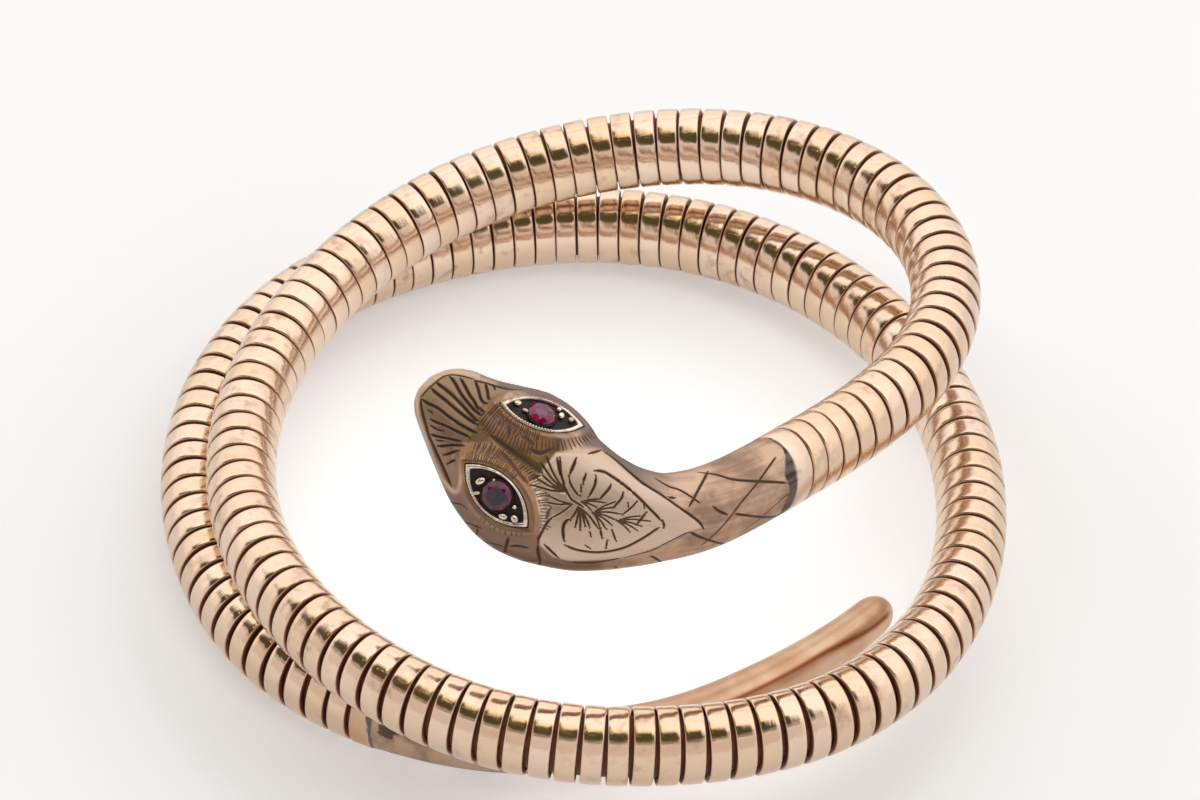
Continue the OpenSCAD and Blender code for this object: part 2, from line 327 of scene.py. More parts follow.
headLooks = {
    "ground": colour(198, 168, 144), "shade": colour(150, 122, 102),    # worn satin and its tarnish
    "panel": colour(204, 182, 164), "nose": colour(196, 168, 142),      # polished heart and rim
    "fan": colour(140, 118, 84), "skull": colour(116, 94, 64),
    "dusk": colour(128, 104, 88), "crest": colour(120, 104, 97),
    "brow": colour(154, 112, 70), "cut": colour(84, 60, 45), "fanCut": colour(64, 46, 33),
    "panelCut": colour(88, 62, 43), "solder": colour(104, 94, 92), "burnt": colour(54, 44, 42),
    "soot": colour(70, 55, 48), "brownLine": colour(150, 82, 38), "tail": colour(204, 164, 134),
    # areas over the collar: what they wear by, from and to, the colour that shows through
    "layers": (("fan", "cloud", 0.35, 0.65, "shade"), ("skull", "cloud", 0.35, 0.65, "fan"),
               ("brow", "fine", 0.35, 0.65, "shade"), ("panel", "worn", 0.45, 0.7, "nose")),
    "headBrush": (60.0, 900.0, 1.0), "tailBrush": (22.0, 700.0, 1.0),
}


def engravedGold(looks):
    material, make, socket = newMaterial("engravedGold")
    place, part = make.place(), make.part
    cloud, fine = make.noise(place, 260, 4, 0.6), make.noise(place, 1500, 4, 0.65)
    brush = make.brushed(looks["headBrush"])
    worn = make.plus(make.times(cloud, 0.6), make.times(brush, 0.4))
    base = make.mix(make.span(worn, 0.38, 0.62), looks["shade"], looks["ground"])
    for area, least in (("dusk", 0.6), ("crest", 0.7)):
        base = make.mix(make.times(part(area), make.span(worn, 0.3, 0.55, least, 1.0)), base, looks[area])
    base = make.mix(part("nose"), base, make.mix(make.span(fine, 0.6, 0.7), looks["nose"], looks["ground"]))
    base = make.mix(part("collar"), base, goldSettings["base"])
    wear = {"cloud": cloud, "fine": fine, "worn": worn}
    for area, by, low, high, under in looks["layers"]:
        base = make.mix(part(area), base, make.mix(make.span(wear[by], low, high), looks[area], looks[under]))
    smear = make.span(make.plus(part("solder"), make.times(make.plus(fine, brush), 0.55)), 0.85, 1.25)
    base = make.mix(smear, base, make.mix(make.span(brush, 0.42, 0.6), looks["solder"], looks["burnt"]))
    # dirt in the cuts
    hatch = make.times(make.span(part("hatch"), 0.05, 0.6), 0.8)
    dirtAndShade = make.most(make.span(part("cut"), 0.04, 0.55), hatch)
    dirtAndShade = make.most(dirtAndShade, make.times(make.span(part("channel"), 0.0, 0.6), 0.85))
    soil = make.mix(part("panel"), make.mix(part("fan"), looks["cut"], looks["fanCut"]), looks["panelCut"])
    make.put(socket["Base Color"], make.mix(dirtAndShade, base, soil))
    dull = make.most(dirtAndShade, make.times(smear, 0.6))
    make.put(socket["Metallic"], make.rest(make.most(make.times(dull, 0.7), make.times(part("panel"), 0.3))))
    smooth = make.most(make.most(part("panel"), part("nose")), make.times(part("collar"), 1.8))
    rough = make.math("SUBTRACT", make.span(worn, 0.35, 0.65, 0.5, 0.38), make.times(smooth, 0.06))
    make.put(socket["Roughness"], make.plus(rough, make.times(dull, 0.15)))
    height = make.plus(brush, make.times(fine, 0.5))
    make.put(socket["Normal"], make.bump(height, 0.14, 0.0002))
    return material


def tailGold(looks):
    material, make, socket = newMaterial("tailGold")
    part, cloud, brush = make.part, make.noise(make.place(), 200), make.brushed(looks["tailBrush"])
    base = make.mix(make.span(cloud, 0.35, 0.65), looks["tail"], goldSettings["warm"])
    worn = make.mix(make.span(cloud, 0.4, 0.6), looks["shade"], looks["ground"])
    base = make.mix(part("worn"), base, worn)
    fine = make.noise(make.place(), 1500, 4, 0.65)
    smear = make.span(make.plus(part("solder"), make.times(fine, 0.7)), 0.75, 1.0)
    base = make.mix(smear, base, looks["solder"])
    ragged = make.plus(brush, make.noise(make.place(), 900, 3, 0.6))
    soot = make.span(make.plus(part("soot"), make.times(ragged, 2.0)), 2.6, 2.9)
    base = make.mix(make.times(soot, 0.85), base, looks["soot"])
    brownLine = make.times(part("brownLine"), make.span(brush, 0.1, 0.5))
    make.put(socket["Base Color"], make.mix(brownLine, base, looks["brownLine"]))
    make.put(socket["Metallic"], make.rest(make.times(smear, 0.7)))
    make.put(socket["Roughness"], make.plus(make.span(brush, 0.3, 0.7, 0.38, 0.52), make.times(part("worn"), 0.05)))
    make.put(socket["Normal"], make.bump(brush, 0.12, 0.0002))
    return material


def settingSilver():
    material, make, socket = newMaterial("settingSilver")
    fine, dirtAndShade = make.noise(make.place(), 1500, 3, 0.6), make.part("dirtAndShade")
    base = make.mix(make.span(fine, 0.4, 0.7), colour(232, 220, 206), colour(176, 158, 142))
    # marked places, down in the pocket and on the outer wall under the rim, turn dark and less metallic: painted
    # shade
    make.put(socket["Base Color"], make.mix(dirtAndShade, base, colour(44, 33, 29)))
    make.put(socket["Metallic"], make.rest(make.times(dirtAndShade, 0.5)))
    make.put(socket["Roughness"], make.plus(make.span(fine, 0.3, 0.7, 0.2, 0.36), make.times(dirtAndShade, 0.25)))
    return material


# one ruby in two painted copies, a lit one and a shaded one; in each, plain facets, facets with a painted glint, and
# the table painted with the sky's reflection
rubyColours = {  # dark facets, bright facets, table
    "rubyPaintedShade": (colour(38, 6, 30), colour(104, 14, 66), colour(52, 26, 58)),
    "rubyPaintedLight": (colour(84, 8, 48), colour(160, 20, 84), colour(142, 112, 134)),
}


def rubyRed(name):
    material, make, socket = newMaterial(name, Roughness=0.12, IOR=1.77)
    socket["Specular IOR Level"].default_value = 0.3
    dark, paintedGlint, middle = rubyColours[name]
    # the table's colour is a painted reflection of the sky, broken into cells; the other facets take a painted glint
    # at random
    tableReflectionCells = make.add("ShaderNodeTexVoronoi", {"Vector": make.place(), "Scale": 1900.0}).outputs["Color"]
    grey = make.add("ShaderNodeSeparateXYZ", {0: tableReflectionCells}).outputs[0]
    facets = make.mix(make.part("facetGlint"), dark, paintedGlint)
    make.put(socket["Base Color"], make.mix(make.part("table"), facets, make.mix(grey, dark, middle)))
    return material


materials = {
    "ring": ringGold(goldSettings), "core": darkCore(), "head": engravedGold(headLooks),
    "tail": tailGold(headLooks), "silver": settingSilver(),
    "rubyPaintedShade": rubyRed("rubyPaintedShade"), "rubyPaintedLight": rubyRed("rubyPaintedLight"),
}
print("materials made")


# meshes
def linkMesh(name, data, material=None):
    if material:
        data.materials.append(material)
    thing = bpy.data.objects.new(name, data)
    bpy.context.scene.collection.objects.link(thing)
    return thing


def meshObject(name, points, faces, material=None, edges=()):
    # points in mm
    data = bpy.data.meshes.new(name)
    data.from_pydata((np.asarray(points) * mm).tolist(), list(edges), faces)
    if faces:
        data.shade_smooth()
    return linkMesh(name, data, material)


def mark(data, name, values, kind="FLOAT", domain="POINT"):
    layer = data.attributes.new(name, kind, domain)
    layer.data.foreach_set("vector" if kind == "FLOAT_VECTOR" else "value", np.asarray(values, np.float32).ravel())


def bodyMap(data, distances, rounds):
    # UV map in metres, along and round the body
    layer = data.uv_layers.new(name="bodyMap")
    corner = np.zeros(len(data.loops), np.int32)
    data.loops.foreach_get("vertex_index", corner)
    layer.data.foreach_set("uv", (np.stack([distances, rounds], 1)[corner] * mm).astype(np.float32).ravel())


def loftFaces(loops, around, closed=False):
    faces = [(j * around + k, j * around + (k + 1) % around, (j + 1) % loops * around + (k + 1) % around,
              (j + 1) % loops * around + k) for j in range(loops - (not closed)) for k in range(around)]
    if not closed:
        last = (loops - 1) * around
        faces += [tuple(range(around))[::-1], tuple(range(last, last + around))]
    return faces


def newTree(name, inputs):
    tree = bpy.data.node_groups.new(name, "GeometryNodeTree")
    tree.interface.new_socket("Geometry", in_out="OUTPUT", socket_type="NodeSocketGeometry")
    for label, kind in [("Geometry", "Geometry")] + inputs + [("Finish", "Material")]:
        tree.interface.new_socket(label, in_out="INPUT", socket_type="NodeSocket" + kind)
    make = NodeMaker(tree)
    return tree, make, make.add("NodeGroupInput").outputs


def endTree(make, given, geometry):
    real = make.add("GeometryNodeRealizeInstances", {"Geometry": geometry})
    finish = make.add("GeometryNodeSetMaterial", {"Geometry": real.outputs[0], "Material": given["Finish"]})
    make.put(make.add("NodeGroupOutput").inputs[0], finish.outputs[0])


def applyTree(thing, tree, values):
    # the modifier's result becomes the thing's own mesh
    modifier = thing.modifiers.new(tree.name, "NODES")
    modifier.node_group = tree
    ids = {item.name: item.identifier for item in tree.interface.items_tree if item.in_out == "INPUT"}
    for name, value in values.items():
        modifier[ids[name]] = value
    bpy.context.view_layer.update()
    made = bpy.data.meshes.new_from_object(thing.evaluated_get(bpy.context.evaluated_depsgraph_get()))
    thing.modifiers.clear()
    thing.data = made
    return thing


def named(make, name, kind="FLOAT"):
    return make.add("GeometryNodeInputNamedAttribute", {"Name": name}, data_type=kind).outputs[0]


# rings, threaded along the path by geometry nodes
def ringOutline(settings, margin, count):
    # oval of four arcs, x is the thickness and y the width, in even steps
    endY = settings["halfWidth"] - settings["endRadius"]
    low = settings["halfThickness"] - settings["endRadius"]
    sideX = (endY ** 2 - low ** 2) / (2 * low)
    meet = math.atan2(endY, sideX)
    endR, sideR = settings["endRadius"] + margin, settings["halfThickness"] + sideX + margin
    side = np.linspace(-meet, meet, 200)
    end = np.linspace(meet, math.pi - meet, 200)
    half = np.vstack([np.stack([sideR * np.cos(side) - sideX, sideR * np.sin(side)], 1),
                      np.stack([endR * np.cos(end), endR * np.sin(end) + endY], 1)])
    fine = np.vstack([half, -half, half[:1]])
    run = runAlong(fine)
    at = np.linspace(0, run[-1], count, endpoint=False)
    return np.stack([np.interp(at, run, fine[:, 0]), np.interp(at, run, fine[:, 1])], 1), at


def ringShape(settings):
    count, half, edge, crown = settings["around"], settings["length"] / 2, settings["edge"], settings["crown"]
    # place along the ring, margin over its outline, and painted shade: full on the ring's sides and inner wall down
    # in the gaps, none on its face
    profile = [(-half, -edge - 0.14, 1.0), (-half, -edge, 0.5), (-half + edge * 0.3, -edge * 0.4, 0.08),
               (-half + edge, 0.0, 0.0), (-half * 0.4, crown * 0.8, 0.0), (half * 0.4, crown * 0.8, 0.0),
               (half - edge, 0.0, 0.0), (half - edge * 0.3, -edge * 0.4, 0.08), (half, -edge, 0.5),
               (half, -edge - 0.14, 1.0), (half, -settings["wall"], 1.0), (-half, -settings["wall"], 1.0)]
    points, dirtAndShade, places = [], [], []
    for along, margin, dark in profile:
        loop, run = ringOutline(settings, margin, count)
        points += [(x, y, along) for x, y in loop]
        places += [(r, along, 0) for r in run]
        dirtAndShade += [dark] * count
    ring = meshObject("ringPattern", points, loftFaces(len(profile), count, closed=True))
    mark(ring.data, "paintedGapShade", dirtAndShade)
    mark(ring.data, "ringPlace", places, "FLOAT_VECTOR")
    return ring


def threadRingsTree():
    tree, make, given = newTree("threadRings", [("Ring", "Object"), ("Tilt", "Float"), ("Seed", "Int")])
    ring = make.add("GeometryNodeObjectInfo", {"Object": given["Ring"]}).outputs["Geometry"]
    turn = make.add("FunctionNodeAlignRotationToVector", {
        "Vector": named(make, "ringAlong", "FLOAT_VECTOR")}, axis="Z")
    turn = make.add("FunctionNodeAlignRotationToVector", {
        "Rotation": turn.outputs[0], "Vector": named(make, "ringOut", "FLOAT_VECTOR")}, axis="X", pivot_axis="Z")
    lean = make.scaled(make.chance((-1, -1, -0.3), (1, 1, 0.3), given["Seed"]), given["Tilt"])
    lean = make.add("FunctionNodeEulerToRotation", {0: lean})
    turn = make.add("FunctionNodeRotateRotation", {
        "Rotation": turn.outputs[0], "Rotate By": lean.outputs[0]}, rotation_space="LOCAL")
    put = make.add("GeometryNodeInstanceOnPoints", {
        "Points": given["Geometry"], "Instance": ring, "Rotation": turn.outputs[0],
        "Scale": named(make, "ringScale", "FLOAT_VECTOR")})
    tone = make.add("FunctionNodeRandomValue", {"Seed": 3}, data_type="FLOAT")
    endTree(make, given, make.store(put.outputs[0], "ringTone", tone.outputs[1], "INSTANCE"))
    return tree


def ringRoom():
    # the longest that each ring may be, from how its edges close up on its neighbours'
    s = ringSettings
    place, out, up, along = bodyFrame(ringsFrom + (np.arange(-1, ringCount + 1) + 0.5) * s["pitch"])
    around = np.linspace(0, 2 * math.pi, 24, endpoint=False)
    edge = (place[:, None] + out[:, None] * (s["halfThickness"] * np.cos(around))[None, :, None]
            + up[:, None] * (s["halfWidth"] * np.sin(around))[None, :, None])
    step = np.einsum("ijk,ik->ij", np.diff(edge, axis=0), unit(along[1:] + along[:-1])).min(1)
    return np.minimum(np.minimum(step[:-1], step[1:]) - s["clear"], s["longest"])


def threadRings(name, first, last, ring, tree, lengths):
    place, out, up, along = bodyFrame(ringsFrom + (np.arange(first, last) + 0.5) * ringSettings["pitch"])
    row = meshObject(name, place, [])
    scale = np.ones((last - first, 3))
    scale[:, 2] = lengths[first:last] / ringSettings["length"]
    for label, values in (("ringAlong", along), ("ringOut", out), ("ringScale", scale)):
        mark(row.data, label, values, "FLOAT_VECTOR")
    applyTree(row, tree, {"Ring": ring, "Tilt": math.radians(ringSettings["tilt"]),
                          "Seed": ringSettings["seed"], "Finish": materials["ring"]})
    row.data.shade_smooth()
    return row


ring, ringTree, ringLengths = ringShape(ringSettings), threadRingsTree(), ringRoom()
upperRings = threadRings("upperTurnRings", 0, splitCount, ring, ringTree, ringLengths)
lowerRings = threadRings("lowerTurnRings", splitCount, ringCount, ring, ringTree, ringLengths)
bpy.data.objects.remove(ring)
print("rings threaded", len(upperRings.data.polygons), len(lowerRings.data.polygons))

# dark core inside the rings
coreSettings = {"steps": 420, "around": 28, "insertion": 1.4}


def makeCore(settings):
    turns = np.linspace(0, 2 * math.pi, settings["around"], endpoint=False)
    stations = np.linspace(ringsFrom - settings["insertion"], tailFrom + settings["insertion"], settings["steps"])
    points = np.vstack([plainLoop(d, tubeWidth, tubeThickness, turns) for d in stations])
    return meshObject("coreTube", points, loftFaces(len(stations), settings["around"]), materials["core"])


core = makeCore(coreSettings)
print("core made")

# both collars: gap to the nearest ring, and the sockets that take the ends of the core
collarSettings = {
    "gap": 0.15, "socketDepth": 1.7, "socketGap": 0.12,
    # rounded edges of the head's collar: distance from the edge, how far it draws in
    "frontEdge": ((-0.08, 0.07), (0.0, 0.03), (0.06, 0.0)),
    "backEdge": ((-0.12, 0.0), (-0.04, 0.04), (0.0, 0.12)),
}


def socketSize():
    return tubeWidth + collarSettings["socketGap"], tubeThickness + collarSettings["socketGap"]


# head; its half widths from 10.2 on came from the same fitting program
headSettings = {
    "bluntness": 2.3, "collar": 2.3,
    "rows": [  # distance, half width, height of the top, depth of the underside
        (0.0, 0.3, 0.15, 0.15), (0.3, 1.5, 0.75, 0.6), (0.9, 2.4, 1.2, 0.95), (1.8, 3.1, 1.6, 1.3),
        (3.0, 3.6, 2.0, 1.6), (4.5, 4.25, 2.45, 1.9), (6.3, 5.15, 2.9, 2.2), (8.2, 6.1, 3.2, 2.45),
        (10.2, 6.8, 3.4, 2.65), (12.0, 6.9, 3.5, 2.75), (13.8, 6.6, 3.5, 2.85), (15.6, 6.1, 3.45, 2.9),
        (17.6, 5.6, 3.35, 2.95), (19.6, 4.95, 3.25, 3.0), (21.8, 4.35, 3.15, 3.0), (24.5, 3.85, 3.05, 3.0),
        (28.0, 3.8, 3.05, 3.05), (36.0, 3.8, 3.05, 3.05)],
    "turns": [  # distance, turn of the top, lean of the sides
        (0, 19, -8), (2.5, 19, -3), (6, 20, 7), (10, 22, 11), (14, 30, 9), (18, 44, 6),
        (22, 60, 3), (27, 76, 0), (32, 86, 0), (38, 90, 0)],
    "skinStart": 0.9, "reach": 1.85,    # mm from the nose, radians from the top
    "roundScale": 5.0,                  # mm of skin for one radian round the head
    "stepAlong": 0.14, "stepAround": 0.13, "underColumns": 36,
    "noseStations": (0.02, 0.06, 0.12, 0.2, 0.3, 0.42, 0.56, 0.72),
    # ovals of points round the eyes: from, to, step, and the stretch of the head that they may cover
    "eyeOvals": (0.19, 1.46, 0.085), "eyeStretch": (1.2, 20),
    "clear": 0.055,                     # mm between a cut's line and any other point
}
headRows, turnRows = np.array(headSettings["rows"]), np.array(headSettings["turns"], float)
headFront = ringsFrom - headSettings["collar"]


def softColumn(rows, distance, column):
    # straight between rows, softened over a short way
    d = np.asarray(distance, float)
    spread = np.array([-0.5, -0.25, 0, 0.25, 0.5]) * np.clip(d / 3, 0, 1)[..., None]
    return np.interp(d[..., None] + spread, rows[:, 0], rows[:, column]).mean(-1)


def headPoint(distance, around):
    d = np.asarray(distance, float)
    power = 2 + (headSettings["bluntness"] - 2) * np.clip((22 - d) / 8, 0, 1)
    return bodyPoints(d, softColumn(turnRows, d, 1), softColumn(turnRows, d, 2), softColumn(headRows, d, 1),
                      softColumn(headRows, d, 2), softColumn(headRows, d, 3), power, around)


def skinWays(distance, around, view=lambda points: points):
    # how a point of the skin moves with its two places
    here = view(headPoint(distance, around))
    return (here, (view(headPoint(distance + 0.01, around)) - here) / 0.01,
            (view(headPoint(distance, around + 0.003)) - here) / 0.003)


def headNormal(distance, around):
    here, byD, byQ = skinWays(distance, around)
    return unit(np.cross(byQ, byD))


def stepsFor(miss, byD, byQ):
    # least squares steps of both places for a wanted move
    aa, bb, ab = (byD * byD).sum(-1), (byQ * byQ).sum(-1), (byD * byQ).sum(-1)
    am, bm = (byD * miss).sum(-1), (byQ * miss).sum(-1)
    det = np.maximum(aa * bb - ab * ab, 1e-3)
    return (am * bb - bm * ab) / det, (bm * aa - am * ab) / det


guideD, guideQ = [g.ravel() for g in np.meshgrid(
    np.arange(0.3, headFront, 0.3), np.arange(-1.8, 1.8, 0.06), indexing="ij")]
guide = headPoint(guideD, guideQ)
eyePoint = np.array(cameraSettings["position"])
guideFacing = (headNormal(guideD, guideQ) * unit(eyePoint - guide)).sum(1) > 0.02


def nearTree(points):
    tree = KDTree(len(points))
    for i, p in enumerate(points):
        tree.insert((p[0], p[1], p[2] if len(p) > 2 else 0), i)
    tree.balance()
    return tree


def skinPlace(targets, view, start, starts, usable):
    # places on the skin that look like the targets: nearest guide point first, then exact
    known = np.flatnonzero(usable)
    tree = nearTree(start(guide[known]))
    near = [known[tree.find((*s, 0)[:3])[1]] for s in starts]
    d, q = guideD[near], guideQ[near]
    for _ in range(12):
        here, byD, byQ = skinWays(d, q, view)
        stepD, stepQ = stepsFor(targets - here, byD, byQ)
        d = np.clip(d + np.clip(stepD, -0.4, 0.4), 0.95, headFront - 0.3)
        q = np.clip(q + np.clip(stepQ, -0.1, 0.1), -headSettings["reach"] + 0.05, headSettings["reach"] - 0.05)
    return d, q


def placeByPicture(picture):
    picture = np.asarray(picture, float)
    return skinPlace(picture, inPicture, inPicture, picture, guideFacing)


# eyes
eyeSettings = {
    "distance": 10.7, "spread": 4.1, "height": 3.3, "slope": 29.0, "turn": 18.0,
    "shift": 0.15, "roll": 4.5,     # both eyes sit a little to the inner side
    "length": 7.4, "width": 3.6, "depth": 1.7, "rim": 0.25, "sink": 0.3,
    "stone": {-1: 2.38, 1: 2.62}, "stoneSeat": 0.8, "stoneGap": 0.04, "pocketGap": 0.06,
    "stoneLift": 0.25, "collet": 0.12,
    "beadSpacing": 0.26, "beadSize": 0.11,
    # how far the beads of a rim are worn away, from its nose end round by way of local +y
    "wear": {-1: ((0, 0.28, 0.34, 0.6, 0.68, 1), (0, 0.05, 1, 1, 0.6, 0.5)),
             1: ((0, 0.45, 0.5, 1), (0.5, 0.6, 1, 1))},
    "grains": {     # place in the picture, half length, half width, spin in degrees
        -1: [(518.0, 403.0, 0.3, 0.24, 20), (525.5, 410.5, 0.36, 0.2, -8), (559, 409.5, 0.22, 0.2, 50),
             (561.5, 415.5, 0.3, 0.26, 80), (571, 420, 0.32, 0.2, 40)],
        1: [(480.5, 481, 0.4, 0.28, 70), (476.5, 493, 0.36, 0.18, 50), (514.5, 507, 0.27, 0.25, 0),
            (503, 516.5, 0.36, 0.27, 30), (514.5, 519, 0.36, 0.28, -20), (494, 480, 0.17, 0.15, 0)]},
    "brow": 0.2, "browFrom": 0.55, "browSpread": 0.34, "seat": -0.16,   # raised brow over the seat's level
    "blend": (0.1, 1.5), "near": 3.0,       # how far out the seat blends with the skin, and how high it is felt
}


def eyeMatrix(side):
    e = eyeSettings
    turn, sideSet = [np.radians(np.interp(e["distance"], turnRows[:, 0], turnRows[:, c]) - roll)
                     for c, roll in ((1, e["roll"]), (2, 0))]
    p, out, up, along = bodyFrame(e["distance"])
    n = out * math.sin(turn) + up * math.cos(turn)
    w = (out * math.cos(turn) - up * math.sin(turn)) * math.cos(sideSet) + along * math.sin(sideSet)
    t = np.cross(n, w)
    base = Matrix([[n[i], w[i], t[i], p[i]] for i in range(3)] + [[0, 0, 0, 1]])
    return np.array(base @ Matrix.Translation((e["height"], side * e["spread"] - e["shift"], 0))
                    @ Matrix.Rotation(math.radians(side * e["slope"]), 4, "Z")
                    @ Matrix.Rotation(math.radians(-side * e["turn"]), 4, "X")
                    @ Matrix.Rotation(math.radians(90), 4, "Y"))


eyeMatrices = {side: eyeMatrix(side) for side in (-1, 1)}
eyeInverses = {side: np.linalg.inv(eyeMatrices[side]) for side in (-1, 1)}


def toEye(points, side):
    return points @ eyeInverses[side][:3, :3].T + eyeInverses[side][:3, 3]


def fromEye(points, side):
    return np.asarray(points, float) @ eyeMatrices[side][:3, :3].T + eyeMatrices[side][:3, 3]


def outsideEye(x, y, grow=0.0):
    # how far a point lies outside the eye's pointed oval
    length, width = eyeSettings["length"] + 4 * grow, eyeSettings["width"] + 2 * grow
    r = (length ** 2 + width ** 2) / (4 * width)
    return np.hypot(x, np.abs(y) + r - width / 2) - r


def pointedOval(length, width, count):
    # evenly along both arcs, from the nose end, counter-clockwise
    r = (length ** 2 + width ** 2) / (4 * width)
    reach = math.asin(length / 2 / r)
    a = np.linspace(-reach, reach, count // 2, endpoint=False)
    upper = np.stack([-r * np.sin(a), r * np.cos(a) - (r - width / 2)], 1)
    return np.vstack([upper, -upper])


def eyeOnSkin(flat, side):
    # points of the eye's plane dropped on to the skin
    flat = np.asarray(flat)
    return skinPlace(flat, lambda p: toEye(p, side)[..., :2], lambda p: p,
                     fromEye(np.column_stack([flat, np.zeros(len(flat))]), side), np.ones(len(guide), bool))


def smoothStep(value, low, high):
    t = np.clip((value - low) / (high - low), 0, 1)
    return t * t * (3 - 2 * t)


def insidePolygon(points, corners):
    # distance in the picture to a polygon's edge, over zero inside it
    corners = np.asarray(corners, float)
    inside, nearest = np.zeros(len(points), bool), np.full(len(points), np.inf)
    for a, b in zip(corners, np.roll(corners, -1, axis=0)):
        t = np.clip(((points - a) @ (b - a)) / ((b - a) @ (b - a)), 0, 1)
        nearest = np.minimum(nearest, np.linalg.norm(points - a - t[:, None] * (b - a), axis=1))
        slant = (b[0] - a[0]) * (points[:, 1] - a[1]) / (b[1] - a[1] + 1e-9) + a[0]
        inside ^= ((a[1] > points[:, 1]) != (b[1] > points[:, 1])) & (points[:, 0] < slant)
    return np.where(inside, nearest, -nearest)
